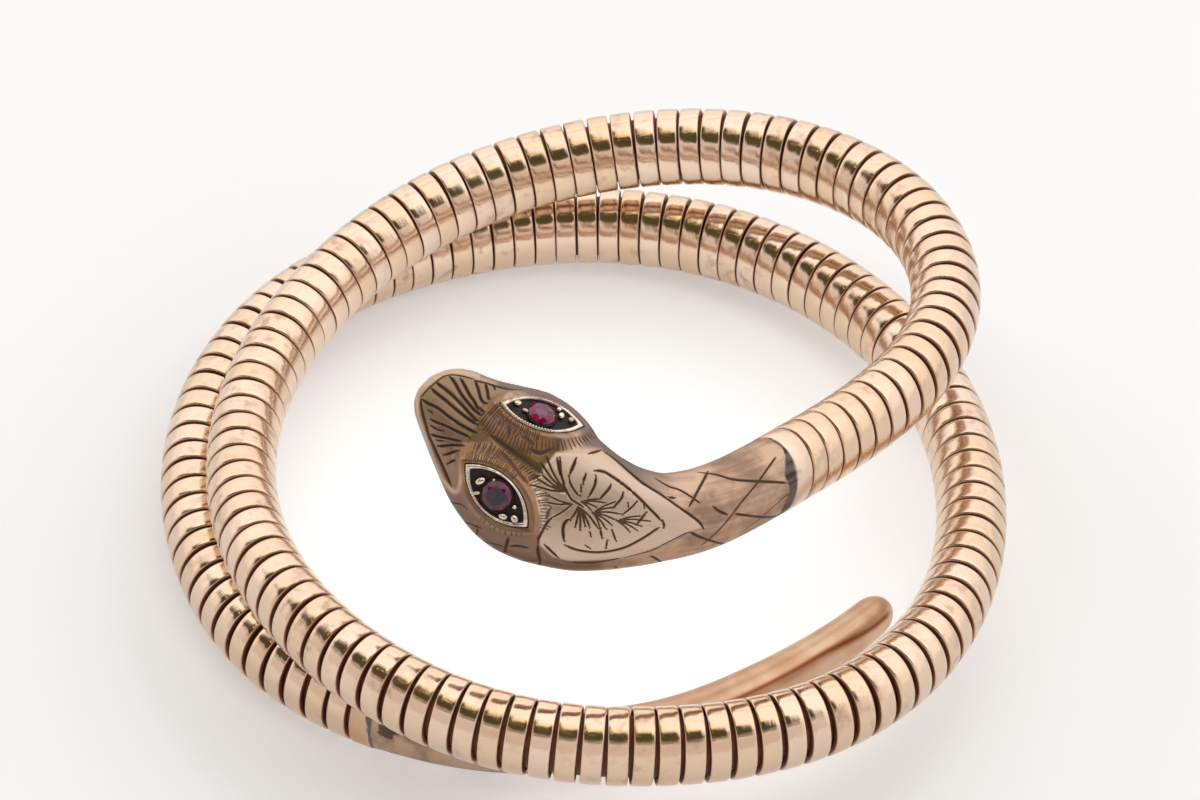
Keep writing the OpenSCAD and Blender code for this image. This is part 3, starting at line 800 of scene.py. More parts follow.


# engraving, read off the head as picture points, with each cut's width in the same points
engraving = {
    "scale": 11.6,      # picture points for one mm of the head
    "depth": {"channel": 0.3, "cut": 0.42, "hatch": 0.42},      # in widths
    "thinnest": 0.004, "raised": 0.07,      # mm, least half width of a cut and lift of the heart
    # how softly areas end, from and to past their edges, and places across the picture
    "soft": {"panel": (-1.5, 1.5), "dusk": (-8, 3), "crest": (-6, 3), "flank": (-4, 3)},
    "crestFade": (625, 690), "noseEnd": 480, "noseBand": (4.5, 4),
    "areas": {
        "panel": [(541, 474), (546, 465), (552, 458), (556, 453), (588, 454), (602, 450), (622, 468), (641, 484),
                  (660, 494), (680, 508), (704, 527), (688, 532), (660, 546), (630, 557), (600, 560), (570, 561),
                  (553, 557), (540, 545), (541, 520), (536, 492), (530, 481)],
        "fan": [(421, 397), (430, 386), (444, 376), (462, 376), (480, 381), (508, 391), (500, 405), (492, 418),
                (484, 432), (474, 444), (463, 452), (461, 470), (455, 487), (446, 478), (438, 462), (422, 416)],
        "dusk": [(434, 446), (443, 468), (452, 487), (458, 470), (462, 490), (470, 510), (486, 524), (506, 534),
                 (530, 534), (541, 545), (553, 557), (600, 562), (600, 572), (540, 572), (480, 550), (440, 500)],
        "crest": [(498, 390), (520, 394), (545, 402), (566, 414), (580, 432), (584, 446), (600, 448), (606, 455),
                  (621, 466), (640, 484), (655, 492), (668, 492), (680, 478), (660, 462), (612, 415), (560, 376),
                  (500, 370)],
        "flank": [(412, 402), (421, 399), (421, 410), (433, 446), (443, 470), (452, 490), (440, 502), (424, 462),
                  (412, 420)],
        "skull": [(478, 424), (492, 406), (512, 414), (530, 434), (560, 442), (558, 454), (545, 464), (536, 482),
                  (524, 488), (505, 462), (484, 448), (464, 447)],
    },
    "channels": [
        (8, [(490, 435), (500, 442), (512, 451), (524, 460), (535, 468), (543, 474)]),
        (6, [(502, 451), (511, 459), (518, 468), (525, 477), (529, 482)]),
        (6, [(506, 431), (508, 440)]), (5, [(520, 441), (533, 447)]),
        (6, [(528, 449), (540, 453), (553, 449)]), (6, [(551, 507), (548, 512), (546, 520)])],
    "fanLines": [  # from the border, to the middle, width
        [(436, 382), (451, 394), (463, 406), (474, 418), (480, 422), 4.6],
        [(449, 376), (460, 392), (470, 405), (476, 412), (481, 417), 4.6],
        [(460, 378), (468, 392), (474, 401), (478, 409), (483, 416), 4.6],
        [(475, 381), (480, 396), (484, 404), (485, 410), 4.2], [(485, 383), (488, 396), (489, 402), 4.2],
        [(493, 384), (495, 390), 3.6], [(431, 388), (444, 399), (457, 410), (470, 420), (478, 425), 4.6],
        [(422, 399), (436, 407), (448, 416), (463, 426), (477, 433), 4.6],
        [(430, 419), (446, 426), (463, 434), (470, 438), 4.4], [(430, 425), (436, 429), (444, 431), 3.2],
        [(430, 434), (446, 438), (461, 441), 4.2], [(436, 440), (444, 441), 3.0],
        [(437, 446), (451, 445), (465, 445), 4.2], [(443, 455), (455, 451), (461, 449), 4.2],
        [(447, 464), (452, 461), (457, 459), 3.6], [(428, 410), (433, 413), 3.6]],
    "lines": [
        # border of the fan
        [(421, 399), (421, 409), (429, 437), (433, 446), (443, 468), (450, 484), (452, 487), 4.2],
        [(474, 380), (487, 383), (500, 387), (512, 390), (525, 391), 3.2],
        [(421, 397), (433, 381), (448, 375), (462, 376), (474, 379), 1.8],
        # scales beside and behind the lower eye
        [(451, 502), (459, 504), (467, 508), 2.2], [(463, 522), (470, 524), (481, 528), 2.2],
        [(478, 528), (477, 535), 2.2], [(481, 541), (492, 544), (503, 546), 2.2],
        [(510, 546), (518, 546), (528, 548), 2.2], [(509, 537), (506, 546), (505, 553), 3.5],
        [(520, 560), (530, 561), (541, 561), 2.2], [(538, 545), (538, 552), (540, 562), (541, 566), 3.5],
        # outline of the heart
        [(602, 451), (612, 457), (621, 464), (640, 481), (660, 494), (680, 508), (698, 521), (704, 529), 3],
        [(598, 436), (606, 446), 2], [(688, 532), (678, 537), (664, 544), (650, 551), (625, 557), 2],
        [(570, 562), (580, 563), (600, 562), (620, 558), 2.6], [(551, 518), (546, 524), (539, 538), (538, 543), 3],
        [(544, 544), (549, 549), (558, 557), 3], [(588, 454), (595, 452), (602, 450), 3],
        # line inside it
        [(594, 471), (600, 471), (608, 474), (624, 485), (640, 499), (655, 514), (661, 521), 3.2],
        [(662, 520), (664, 525), (663, 528), 3.8],
        [(659, 527), (641, 539), (622, 548), (600, 552), (578, 550), (565, 545), 2.8],
        [(564, 541), (563, 528), (566, 521), (570, 519), 3.8], [(569, 476), (574, 464), (576, 458), 3.8],
        [(569, 478), (571, 485), (577, 494), (580, 496), 2.8],
        # stem and crescents
        [(562, 480), (566, 490), (571, 499), (577, 503), (583, 507), 2.8], [(557, 458), (560, 470), (564, 484), 4.8],
        [(586, 474), (584, 479), (583, 484), 3.8], [(581, 485), (581, 491), 4.2],
        [(596, 476), (595, 484), (592, 491), (588, 498), 3.2], [(611, 484), (608, 490), (599, 500), 3.2],
        [(623, 492), (621, 499), (612, 509), 2.8], [(637, 501), (632, 507), (622, 515), 2.4],
        [(646, 512), (641, 519), (636, 525), 2.8], [(619, 480), (621, 485), 2.6], [(630, 489), (633, 493), 2.6],
        [(643, 503), (644, 509), 2.6], [(628, 503), (628, 508), 2.6], [(600, 528), (602, 538), 3],
        [(590, 532), (591, 537), 3], [(607, 540), (606, 548), 2.4], [(612, 530), (616, 541), 2.4],
        [(585, 545), (590, 548), 2.4], [(530, 479), (541, 475), 2.4],
        # scales of the neck
        [(655, 478), (668, 486), (680, 490), (700, 503), 2.2], [(708, 471), (700, 487), (689, 507), 3],
        [(697, 472), (714, 474), (732, 479), (752, 481), (786, 483), 2.8],
        [(776, 457), (762, 477), (742, 502), (722, 527), (702, 545), 2.4], [(713, 506), (719, 511), (728, 515), 3],
        [(735, 514), (757, 517), (780, 516), 3], [(788, 494), (770, 510), (743, 531), 2],
        [(690, 532), (697, 536), (714, 542), (727, 543), 3], [(668, 497), (676, 498), 2.6],
        [(649, 556), (656, 559), (662, 562), 3.4], [(614, 566), (617, 568), 2]],
    "sprays": [  # root, width, tips
        ((566, 492), 3.2, [(531, 484), (536, 478), (541, 474), (541, 463), (546, 456)]),
        ((565, 487), 3.2, [(560, 458)]), ((572, 504), 2.9, [(549, 496), (545, 502), (551, 518)]),
        ((581, 502), 2.8, [(601, 499), (606, 503), (596, 507), (592, 511)]),
        ((578, 506), 3.2, [(585, 526), (580, 530), (590, 528), (598, 528), (575, 527), (570, 520)]),
        ((593, 513), 2.7, [(615, 502), (616, 507), (621, 514), (616, 520), (612, 525), (606, 529), (600, 528)]),
        ((617, 521), 2.5, [(640, 516), (650, 521), (641, 526), (637, 530), (630, 532)])],
    "sprayBend": 0.05, "bolder": 1.28,
    # comb cuts round the eyes: side, inner or outer arc, from and to along it, number, near, far, lean, width
    "combs": [
        (1, -1, 0.0, 0.5, 26, 0.25, 0.8, 0.1, 1.7), (1, -1, 0.05, 0.5, 20, 0.9, 1.5, 0.2, 1.7),
        (1, -1, 0.48, 1.0, 22, 1.05, 1.65, 0.25, 2.2), (1, 1, 0.55, 0.95, 9, 0.55, 0.8, 0.0, 3.2),
        (-1, -1, 0.0, 0.5, 26, 0.25, 0.8, 0.1, 1.7), (-1, -1, 0.0, 0.5, 18, 0.95, 1.6, 0.2, 1.7),
        (-1, -1, 0.5, 1.0, 16, 0.75, 1.4, 0.35, 1.8)],
    "combSeed": 11,
}


def bowed(values, knots, at):
    # a curve through all the values
    slope = np.gradient(values, knots) if len(knots) > 2 else np.full(2, values[1] - values[0])
    i = np.clip(np.searchsorted(knots, at) - 1, 0, len(knots) - 2)
    h = knots[i + 1] - knots[i]
    t = (at - knots[i]) / h
    return ((2 * t ** 3 - 3 * t ** 2 + 1) * values[i] + (t ** 3 - 2 * t ** 2 + t) * h * slope[i]
            + (3 * t ** 2 - 2 * t ** 3) * values[i + 1] + (t ** 3 - t ** 2) * h * slope[i + 1])


def evenLine(d, q, half, spacing=0.13):
    # a cut's middle line, spaced evenly, with half widths that run out at both ends
    knots, dense = np.linspace(0, 1, len(d)), np.linspace(0, 1, 12 * len(d))
    d, q = bowed(d, knots, dense), bowed(q, knots, dense)
    run = runAlong(headPoint(d, q))
    at = np.linspace(0, run[-1], max(4, int(run[-1] / spacing)) + 1)
    taper = np.sqrt(np.clip(np.minimum(at, run[-1] - at) / (2.4 * half), 0, 1))
    return np.interp(at, run, d), np.interp(at, run, q), half * taper


def makeCutLines(s):
    strokes = [("channel", width, points) for width, points in s["channels"]]
    strokes += [("cut", row[-1], row[:-1]) for row in s["fanLines"]]
    strokes += [("cut", row[-1] * s["bolder"], row[:-1]) for row in s["lines"]]
    for root, width, tips in s["sprays"]:
        for tip in tips:
            way = np.subtract(tip, root)
            middle = np.add(root, way * 0.5) + s["sprayBend"] * np.array([way[1], -way[0]])
            strokes.append(("cut", width, [root, tuple(middle), tip]))
    d, q = placeByPicture([point for stroke in strokes for point in stroke[2]])
    lines, first = {"channel": [], "cut": [], "hatch": []}, 0
    for kind, width, points in strokes:
        last = first + len(points)
        lines[kind].append(evenLine(d[first:last], q[first:last], width / s["scale"] / 2))
        first = last
    chance = random.Random(s["combSeed"])
    oval = pointedOval(eyeSettings["length"], eyeSettings["width"], 720)[:360]    # nose end to neck end
    for side, arc, low, high, count, near, far, lean, width in s["combs"]:
        ends = []
        for k in np.linspace(low, high, count):
            i = int(np.clip(k * 359 + chance.uniform(-2, 2), 1, 358))
            way = unit(oval[i + 1] - oval[i - 1])
            reach = np.linspace(near, far + chance.uniform(-0.1, 0.1), 3)[:, None]
            flat = oval[i] + np.array([way[1], -way[0]]) * reach * (1 if way[0] < 0 else -1) \
                + way * (reach - near) * lean
            ends.append(flat * np.array([1, arc * side]))
        d, q = eyeOnSkin(np.vstack(ends), side)
        for k in range(count):
            lines["hatch"].append(evenLine(d[3 * k:3 * k + 3], q[3 * k:3 * k + 3], width / s["scale"] / 2, 0.12))
    return lines


def relief(d, q):
    # brows and seats round the eyes and the slightly raised heart, with how much a point belongs to each area
    e, points, normals = eyeSettings, headPoint(d, q), headNormal(d, q)
    picture, facing = inPicture(points), (normals * unit(eyePoint - points)).sum(1) > -0.05
    away = {name: np.where(facing, insidePolygon(picture, area), -50) for name, area in engraving["areas"].items()}
    s, soft = engraving, engraving["soft"]
    points = points + normals * (s["raised"] * smoothStep(away["panel"], *soft["panel"]))[:, None]
    areas = {name: smoothStep(far, -1, 1) for name, far in away.items()}
    middle, half = s["noseBand"]
    areas["nose"] = np.clip(1 - np.abs(away["fan"] + middle) / half, 0, 1) * (picture[:, 0] < s["noseEnd"])
    areas["dusk"] = smoothStep(away["dusk"], *soft["dusk"])
    flank = smoothStep(away["flank"], *soft["flank"])
    areas["crest"] = np.maximum(smoothStep(away["crest"], *soft["crest"]), 0.6 * flank)
    areas["crest"] *= 1 - smoothStep(picture[:, 0], *s["crestFade"])
    areas["brow"] = np.zeros(len(points))
    for side in (-1, 1):
        local = toEye(points, side)
        rim = outsideEye(local[:, 0], local[:, 1]) - e["pocketGap"]
        near = np.abs(local[:, 2]) < e["near"]
        target = e["seat"] + e["brow"] * np.exp(-((rim - e["browFrom"]) / e["browSpread"]) ** 2)
        blend = np.where(near, 1 - smoothStep(rim, *e["blend"]), 0)
        local[:, 2] = local[:, 2] * (1 - blend) + target * blend
        local[near & (rim < -0.012), 2] = -e["depth"] - e["pocketGap"]
        points = fromEye(local, side)
        inner = smoothStep(-local[:, 1] * side, -1.2, 0.2)
        if side < 0:
            inner = inner * smoothStep(local[:, 0], -1.9, -0.6)
        areas["brow"] = np.maximum(areas["brow"], np.where(near, 1 - smoothStep(rim, 0.9, 1.7), 0) * inner)
    return points, normals, areas


def cutEdges(d, q, half):
    # both edges of a cut, as places on the skin
    here, byD, byQ = skinWays(d, q)
    across = unit(np.cross(headNormal(d, q), unit(np.gradient(here, axis=0))))
    stepD, stepQ = stepsFor(across, byD, byQ)
    return [(d + sign * stepD * half, q + sign * stepQ * half) for sign in (-1, 1)]


def skinPlaces(settings, stations, columns, lines):
    # places and edges of the skin: border, cuts with their edges, eye pockets, then a grid between them
    scale, reach = settings["roundScale"], settings["reach"]
    border = [(stations[0], q) for q in columns[:-1]] + [(d, columns[-1]) for d in stations[:-1]]
    border += [(stations[-1], q) for q in columns[:0:-1]] + [(d, columns[0]) for d in stations[:0:-1]]
    places, edges = list(border), [(i, (i + 1) % len(border)) for i in range(len(border))]
    drawn = []

    def draw(d, q, closed=False):
        first = len(places)
        d = np.clip(d, stations[0] + 0.03, stations[-1] - 0.03)
        q = np.clip(q, -reach + 0.01, reach - 0.01)
        places.extend(zip(d, q))
        edges.extend((first + i, first + (i + 1) % len(d)) for i in range(len(d) - (not closed)))
        drawn.append(np.stack([d, q * scale], 1))
    for group in lines.values():
        for line in group:
            draw(line[0], line[1])
            for d, q in cutEdges(*line):
                draw(d, q)
    e, near = eyeSettings, []
    for side in (-1, 1):
        for gap in (0.0, -0.03):
            grow = e["pocketGap"] + gap
            draw(*eyeOnSkin(pointedOval(e["length"] + 4 * grow, e["width"] + 2 * grow, 150), side), closed=True)
        rings = [pointedOval(e["length"] + 3.2 * grow, e["width"] + 2 * grow, int(150 + grow * 60))
                 for grow in np.arange(*settings["eyeOvals"])]
        near.append(np.stack(eyeOnSkin(np.vstack(rings), side), 1))
    near = np.vstack(near)
    low, high = settings["eyeStretch"]
    near = near[(near[:, 0] > low) & (near[:, 0] < high) & (np.abs(near[:, 1]) < reach - 0.06)]
    grid = np.stack([g.ravel() for g in np.meshgrid(stations[1:-1], columns[1:-1], indexing="ij")], 1)
    shift = np.arange(len(grid)) // (len(columns) - 2) % 2 * 0.5 * (columns[1] - columns[0])
    grid[:, 1] = np.minimum(grid[:, 1] + shift, reach - 0.015)
    tree = nearTree(np.vstack(drawn))
    for d, q in np.vstack([grid, near]):
        if tree.find((d, q * scale, 0))[2] > settings["clear"]:
            places.append((d, q))
    return places, edges


def makeHead(settings, lines):
    scale, reach = settings["roundScale"], settings["reach"]
    stations = np.append(np.arange(settings["skinStart"], headFront - 0.25, settings["stepAlong"]), headFront - 0.2)
    columns = np.linspace(-reach, reach, int(2 * reach * scale / settings["stepAround"]) + 1)
    places, edges = skinPlaces(settings, stations, columns, lines)
    made = delaunay_2d_cdt([Vector((d, q * scale)) for d, q in places], edges, [], 0, 1e-4, False)
    skin = np.array([(v[0], v[1] / scale) for v in made[0]])
    faces = [tuple(f)[::-1] for f in made[2]]
    # nose, underside and collar carry on from the skin's border
    where = {(round(d, 4), round(q, 4)): i for i, (d, q) in enumerate(skin)}
    under = np.linspace(reach, 2 * math.pi - reach, settings["underColumns"] + 2)[1:-1]
    turns = np.concatenate([columns, under])
    extra, extraD, extraQ, loops = [], [], [], []

    def addLoop(points, d, rounds, before=(), after=()):
        first = len(skin) + len(extra)
        extra.extend(points)
        extraD.extend([d] * len(points))
        extraQ.extend(rounds)
        loops.append(list(before) + list(range(first, first + len(points))) + list(after))
    for d in settings["noseStations"]:
        addLoop(headPoint(np.full(len(turns), d), turns), d, turns)
    first = len(loops)
    for d in stations:
        low = headPoint(np.full(len(under), d), under)
        if d in (stations[0], stations[-1]):
            addLoop(low, d, under, before=[where[(round(d, 4), round(q, 4))] for q in columns])
        else:
            rims = [where[(round(d, 4), round(q, 4))] for q in (columns[-1], columns[0])]
            addLoop(low, d, under, before=rims[:1], after=rims[1:])
    last = len(loops) - 1
    half, wide, back = ringSettings["halfThickness"], ringSettings["halfWidth"], ringsFrom - collarSettings["gap"]
    for edge, rounding in ((headFront, collarSettings["frontEdge"]), (back, collarSettings["backEdge"])):
        for off, shrink in rounding:
            addLoop(plainLoop(edge + off, wide - shrink, half - shrink, turns), edge + off, turns)
    for d in (back, ringsFrom - collarSettings["socketDepth"]):
        addLoop(plainLoop(d, *socketSize(), turns), d, turns)
    full, skinWide = len(turns), len(columns)
    for j, (a, b) in enumerate(zip(loops, loops[1:])):
        if first <= j < last:
            a, b = [loop[skinWide - 1:] + loop[:1] if len(loop) == full else loop for loop in (a, b)]
            faces += [(a[k], a[k + 1], b[k + 1], b[k]) for k in range(len(a) - 1)]
        else:
            faces += [(a[k], a[(k + 1) % full], b[(k + 1) % full], b[k]) for k in range(full)]
    faces += [tuple(loops[0])[::-1], tuple(loops[-1])]
    points, normals, areas = relief(skin[:, 0], skin[:, 1])
    allD, allQ = np.append(skin[:, 0], extraD), np.append(skin[:, 1], extraQ)
    head = meshObject("snakeHead", np.vstack([points, extra]), faces, materials["head"])
    mark(head.data, "outWay", np.vstack([normals, np.ones((len(extra), 3))]), "FLOAT_VECTOR")
    for name, values in areas.items():
        mark(head.data, name, np.append(values, [0.6 * (d < 0.9 and name == "nose") for d in extraD]))
    # solder along the joint with the collar, widest on the outer side
    turned = wrapped(allQ)
    width = 0.16 + 0.62 * smoothStep(turned, -1.5, -0.6) + 0.1 * np.sin(allQ * 7)
    mark(head.data, "solder", np.exp(-((allD - headFront + 0.05 + width * 0.9) / width) ** 2))
    mark(head.data, "collar", smoothStep(allD, headFront - 0.1, headFront))
    bodyMap(head.data, allD, allQ * scale)
    return head


# cuts into the skin, by geometry nodes
def engraveTree():
    tree, make, given = newTree("engraveSkin", [("Cuts", "Object"), ("Depth", "Float"), ("Mark", "String")])
    cuts = make.add("GeometryNodeObjectInfo", {"Object": given["Cuts"]}).outputs["Geometry"]
    near = make.add("GeometryNodeProximity", {0: cuts}, target_element="EDGES").outputs
    index = make.add("GeometryNodeSampleNearest", {"Geometry": cuts, "Sample Position": near[0]}, domain="POINT")
    width = make.add("GeometryNodeSampleIndex", {
        "Geometry": cuts, "Index": index.outputs[0], "Value": named(make, "halfWidth")}, data_type="FLOAT")
    width = make.most(width.outputs[0], engraving["thinnest"] * mm)
    inside = make.most(make.rest(make.math("DIVIDE", near[1], width)), 0.0)
    marked = make.store(given["Geometry"], given["Mark"], inside)
    sunk = make.store(marked, "sink", make.times(make.times(inside, width), make.times(given["Depth"], -2.0)))
    offset = make.scaled(named(make, "outWay", "FLOAT_VECTOR"), named(make, "sink"))
    moved = make.add("GeometryNodeSetPosition", {"Geometry": sunk, "Offset": offset})
    endTree(make, given, moved.outputs[0])
    return tree


def cutObject(name, lines):
    # middle lines, lying on the finished skin
    points, edges, halves = [], [], []
    for d, q, half in lines:
        edges += [(len(points) + i, len(points) + i + 1) for i in range(len(d) - 1)]
        points.extend(relief(d, q)[0])
        halves.extend(half * mm)
    thing = meshObject(name, points, [], edges=edges)
    mark(thing.data, "halfWidth", halves)
    return thing


cutLines = makeCutLines(engraving)
print("cuts placed", {name: len(group) for name, group in cutLines.items()})
head = makeHead(headSettings, cutLines)
print("head meshed", len(head.data.vertices), len(head.data.polygons))
engrave = engraveTree()
for name, depth in engraving["depth"].items():
    tool = cutObject(name, cutLines[name])
    applyTree(head, engrave, {"Cuts": tool, "Depth": depth, "Mark": name, "Finish": materials["head"]})
    bpy.data.objects.remove(tool)
head.data.shade_smooth()
head.data.set_sharp_from_angle(angle=math.radians(32))
print("head engraved", len(head.data.polygons))


# eye settings, silver, with milled rims
def settingBody(name, profile, side, count=144):
    # profile: how far inside the outline, height, and painted shade, darker down into the pocket and on the outer
    # wall under the rim
    e = eyeSettings
    points, dirtAndShade = [], []
    for inset, z, dark in profile:
        oval = pointedOval(e["length"] - 4.5 * inset, e["width"] - 2 * inset, count)
        points += [(x, y, z) for x, y in oval]
        dirtAndShade += [dark] * count
    # floor with the low collet and the seat of the round stone, all in full painted shade
    turns = np.arctan2([p[1] for p in points[-count:]], [p[0] for p in points[-count:]])
    seat, floor, lift = e["stone"][side] / 2 + e["stoneGap"], profile[-1][1], profile[-1][1] + e["stoneLift"]
    wall = seat + e["collet"]
    for radius, z, dark in ((wall + 0.03, floor, 1.0), (wall, lift - 0.05, 1.0), (wall - 0.04, lift, 1.0),
                            (seat, lift, 1.0), (seat, floor - e["stoneSeat"], 1.0)):
        points += [(radius * math.cos(t), radius * math.sin(t), z) for t in turns]
        dirtAndShade += [dark] * count
    body = meshObject(name, fromEye(points, side), loftFaces(len(points) // count, count), materials["silver"])
    mark(body.data, "dirtAndShade", dirtAndShade)
    body.data.set_sharp_from_angle(angle=math.radians(40))
    return body


def beadRows(side):
    # milled beads on the rim: place, three half sizes and spin
    e, inset = eyeSettings, eyeSettings["rim"] * 0.42
    fine = pointedOval(e["length"] - 2.7 * inset, e["width"] - 2 * inset, 900)
    run = runAlong(fine)
    at = np.linspace(0, run[-1], int(run[-1] / e["beadSpacing"]), endpoint=False)
    wear = np.interp(at / run[-1], *e["wear"][side])
    return [(x, y, 0.03 - 0.12 * w, e["beadSize"], e["beadSize"], e["beadSize"], 0.0) for x, y, w in
            zip(np.interp(at, run, fine[:, 0]), np.interp(at, run, fine[:, 1]), wear) if w < 0.95]


def grainRows(side):
    # grains stand on the floor of the setting where the picture shows them
    e = eyeSettings
    grains = np.array(e["grains"][side], float)
    start, way = toEye(eyePoint, side), pictureRays(grains[:, :2]) @ eyeInverses[side][:3, :3].T
    height = grains[:, 3] * 0.9 - e["sink"]
    spots = start + way * ((height - start[2]) / way[:, 2])[:, None]
    return [(x, y, h, row[2], row[3], row[3], math.radians(row[4]))
            for (x, y, _), h, row in zip(spots, height, grains)]


def sprinkleTree():
    tree, make, given = newTree("sprinkleBeads", [("Roundness", "Int"), ("Uneven", "Float"), ("Seed", "Int")])
    ball = make.add("GeometryNodeMeshIcoSphere", {"Radius": 1.0, "Subdivisions": given["Roundness"]}).outputs[0]
    shape = make.scaled(make.chance((-1, -1, -1), (1, 1, 1), given["Seed"]), given["Uneven"])
    shape = make.vector("ADD", {0: shape, 1: (1, 1, 1)})
    sizes, turn = named(make, "beadSize", "FLOAT_VECTOR"), named(make, "beadTurn", "FLOAT_VECTOR")
    shape = make.vector("MULTIPLY", {0: shape, 1: sizes})
    put = make.add("GeometryNodeInstanceOnPoints", {
        "Points": given["Geometry"], "Instance": ball, "Scale": shape, "Rotation": turn})
    smooth = make.add("GeometryNodeSetShadeSmooth", {"Geometry": put.outputs[0]})
    endTree(make, given, smooth.outputs[0])
    return tree


def sprinkle(name, rows, side, tree, roundness, uneven):
    thing = meshObject(name, fromEye([row[:3] for row in rows], side), [])
    mark(thing.data, "beadSize", [[v * mm for v in row[3:6]] for row in rows], "FLOAT_VECTOR")
    base = Matrix(eyeMatrices[side].tolist())
    mark(thing.data, "beadTurn", [(base @ Matrix.Rotation(row[6], 4, "Z")).to_euler()[:] for row in rows],
         "FLOAT_VECTOR")
    return applyTree(thing, tree, {"Roundness": roundness, "Uneven": uneven, "Seed": 5 + side,
                                   "Finish": materials["silver"]})


def makeSetting(name, side, tree):
    e = eyeSettings
    rim, sink = e["rim"], e["sink"]
    # the third numbers are painted shade: full down the pocket's wall and on the outer wall under the rim, none on
    # the rim's top
    profile = [(0.0, -e["depth"], 1.0), (0.0, -0.22, 0.5), (0.015, -0.1, 0.15), (0.06, -0.03, 0.0),
               (0.12, 0.0, 0.0), (0.18, -0.02, 0.0), (0.22, -0.06, 0.2), (rim, -0.13, 0.7),
               (rim + 0.02, -sink + 0.05, 1.0), (rim + 0.08, -sink, 1.0)]
    joined = bmesh.new()
    for piece in (settingBody(name + "Body", profile, side),
                  sprinkle(name + "Beads", beadRows(side), side, tree, 1, 0.12),
                  sprinkle(name + "Grains", grainRows(side), side, tree, 3, 0.2)):
        joined.from_mesh(piece.data)
        bpy.data.objects.remove(piece)
    data = bpy.data.meshes.new(name)
    joined.to_mesh(data)
    joined.free()
    return linkMesh(name, data, materials["silver"])


beadTree = sprinkleTree()
settingLeft, settingRight = makeSetting("upperEyeSetting", -1, beadTree), makeSetting("lowerEyeSetting", 1, beadTree)
print("settings made", len(settingLeft.data.polygons))

# rubies
rubySettings = {
    "table": 0.62, "crown": 0.42, "pavilion": 0.7, "sides": 8, "seed": 5,
    "crownFacets": (0.82, 0.62), "pavilionFacets": (0.42, 0.72),    # share of the radius, and of the height
    "girdle": 0.03,
}


def makeRuby(name, side, turned, material):
    s, size = rubySettings, eyeSettings["stone"][side] / 2
    solid, n = bmesh.new(), s["sides"]

    def ringOf(count, radius, z, offset=0.0):
        for k in range(count):
            a = math.radians(turned) + 2 * math.pi * (k + offset) / count
            solid.verts.new((size * radius * math.cos(a), size * radius * math.sin(a), z))
    (crownR, crownZ), (lowR, lowZ) = s["crownFacets"], s["pavilionFacets"]
    ringOf(n, s["table"], s["crown"])
    ringOf(n, crownR, s["crown"] * crownZ, 0.5)
    ringOf(2 * n, 1.0, s["girdle"])
    ringOf(2 * n, 1.0, -s["girdle"])
    ringOf(n, lowR, -s["pavilion"] * lowZ, 0.5)
    solid.verts.new((0, 0, -s["pavilion"]))
    bmesh.ops.convex_hull(solid, input=solid.verts)
    bmesh.ops.dissolve_limit(solid, angle_limit=math.radians(1.5), verts=solid.verts, edges=solid.edges)
    bmesh.ops.recalc_face_normals(solid, faces=solid.faces)
    data = bpy.data.meshes.new(name)
    solid.to_mesh(data)
    solid.free()
    chance = random.Random(s["seed"] + side)
    # how much painted glint each facet takes, at random
    mark(data, "facetGlint", [chance.uniform(0, 1) for _ in data.polygons], domain="FACE")
    mark(data, "table", [float(f.center.xy.length < 0.1 and f.center.z > 0) for f in data.polygons], domain="FACE")
    places = np.array([v.co[:] for v in data.vertices]) + (0, 0, eyeSettings["stoneLift"] - eyeSettings["sink"])
    data.vertices.foreach_set("co", (fromEye(places, side) * mm).astype(np.float32).ravel())
    data.shade_flat()
    return linkMesh(name, data, material)


# the upper stone takes the lit copy and the lower the shaded copy: painted light and painted shade
rubyLeft = makeRuby("upperRuby", -1, 8, materials["rubyPaintedLight"])
rubyRight = makeRuby("lowerRuby", 1, 15, materials["rubyPaintedShade"])
print("rubies made", len(rubyLeft.data.polygons))

# tail
tailSettings = {
    "rows": [  # distance, half width, half thickness
        (2.2, 3.75, 3.05), (2.5, 3.68, 3.0), (8, 3.5, 2.95), (14, 3.2, 2.8), (22, 2.8, 2.55),
        (30, 2.5, 2.3), (38, 2.2, 2.1), (45, 2.0, 1.9), (49.2, 1.85, 1.8)],
    "tip": (49.2, 51.83), "tipSize": (1.84, 1.79), "tipSteps": 26, "step": 0.3, "around": 96,
    # soldered sleeve: distance, how far it draws in
    "sleeveEdge": ((0.15, 0.12), (0.19, 0.04), (0.27, 0.0), (1.1, 0.0), (1.9, 0.0), (2.0, 0.015)),
    "solder": (2.05, 0.17),     # distance of the solder and its width
    "sleeve": 11.0,         # worn, tarnished length beside the rings
    "brownLine": (-0.95, -0.6), "brownLineWidth": (0.2, 0.16),    # place round the tail in radians, along it and at its tip
    "soot": (3.5, -0.3), "sootSize": (1.1, 0.5),        # distance and place round the tail of the burnt patch
}


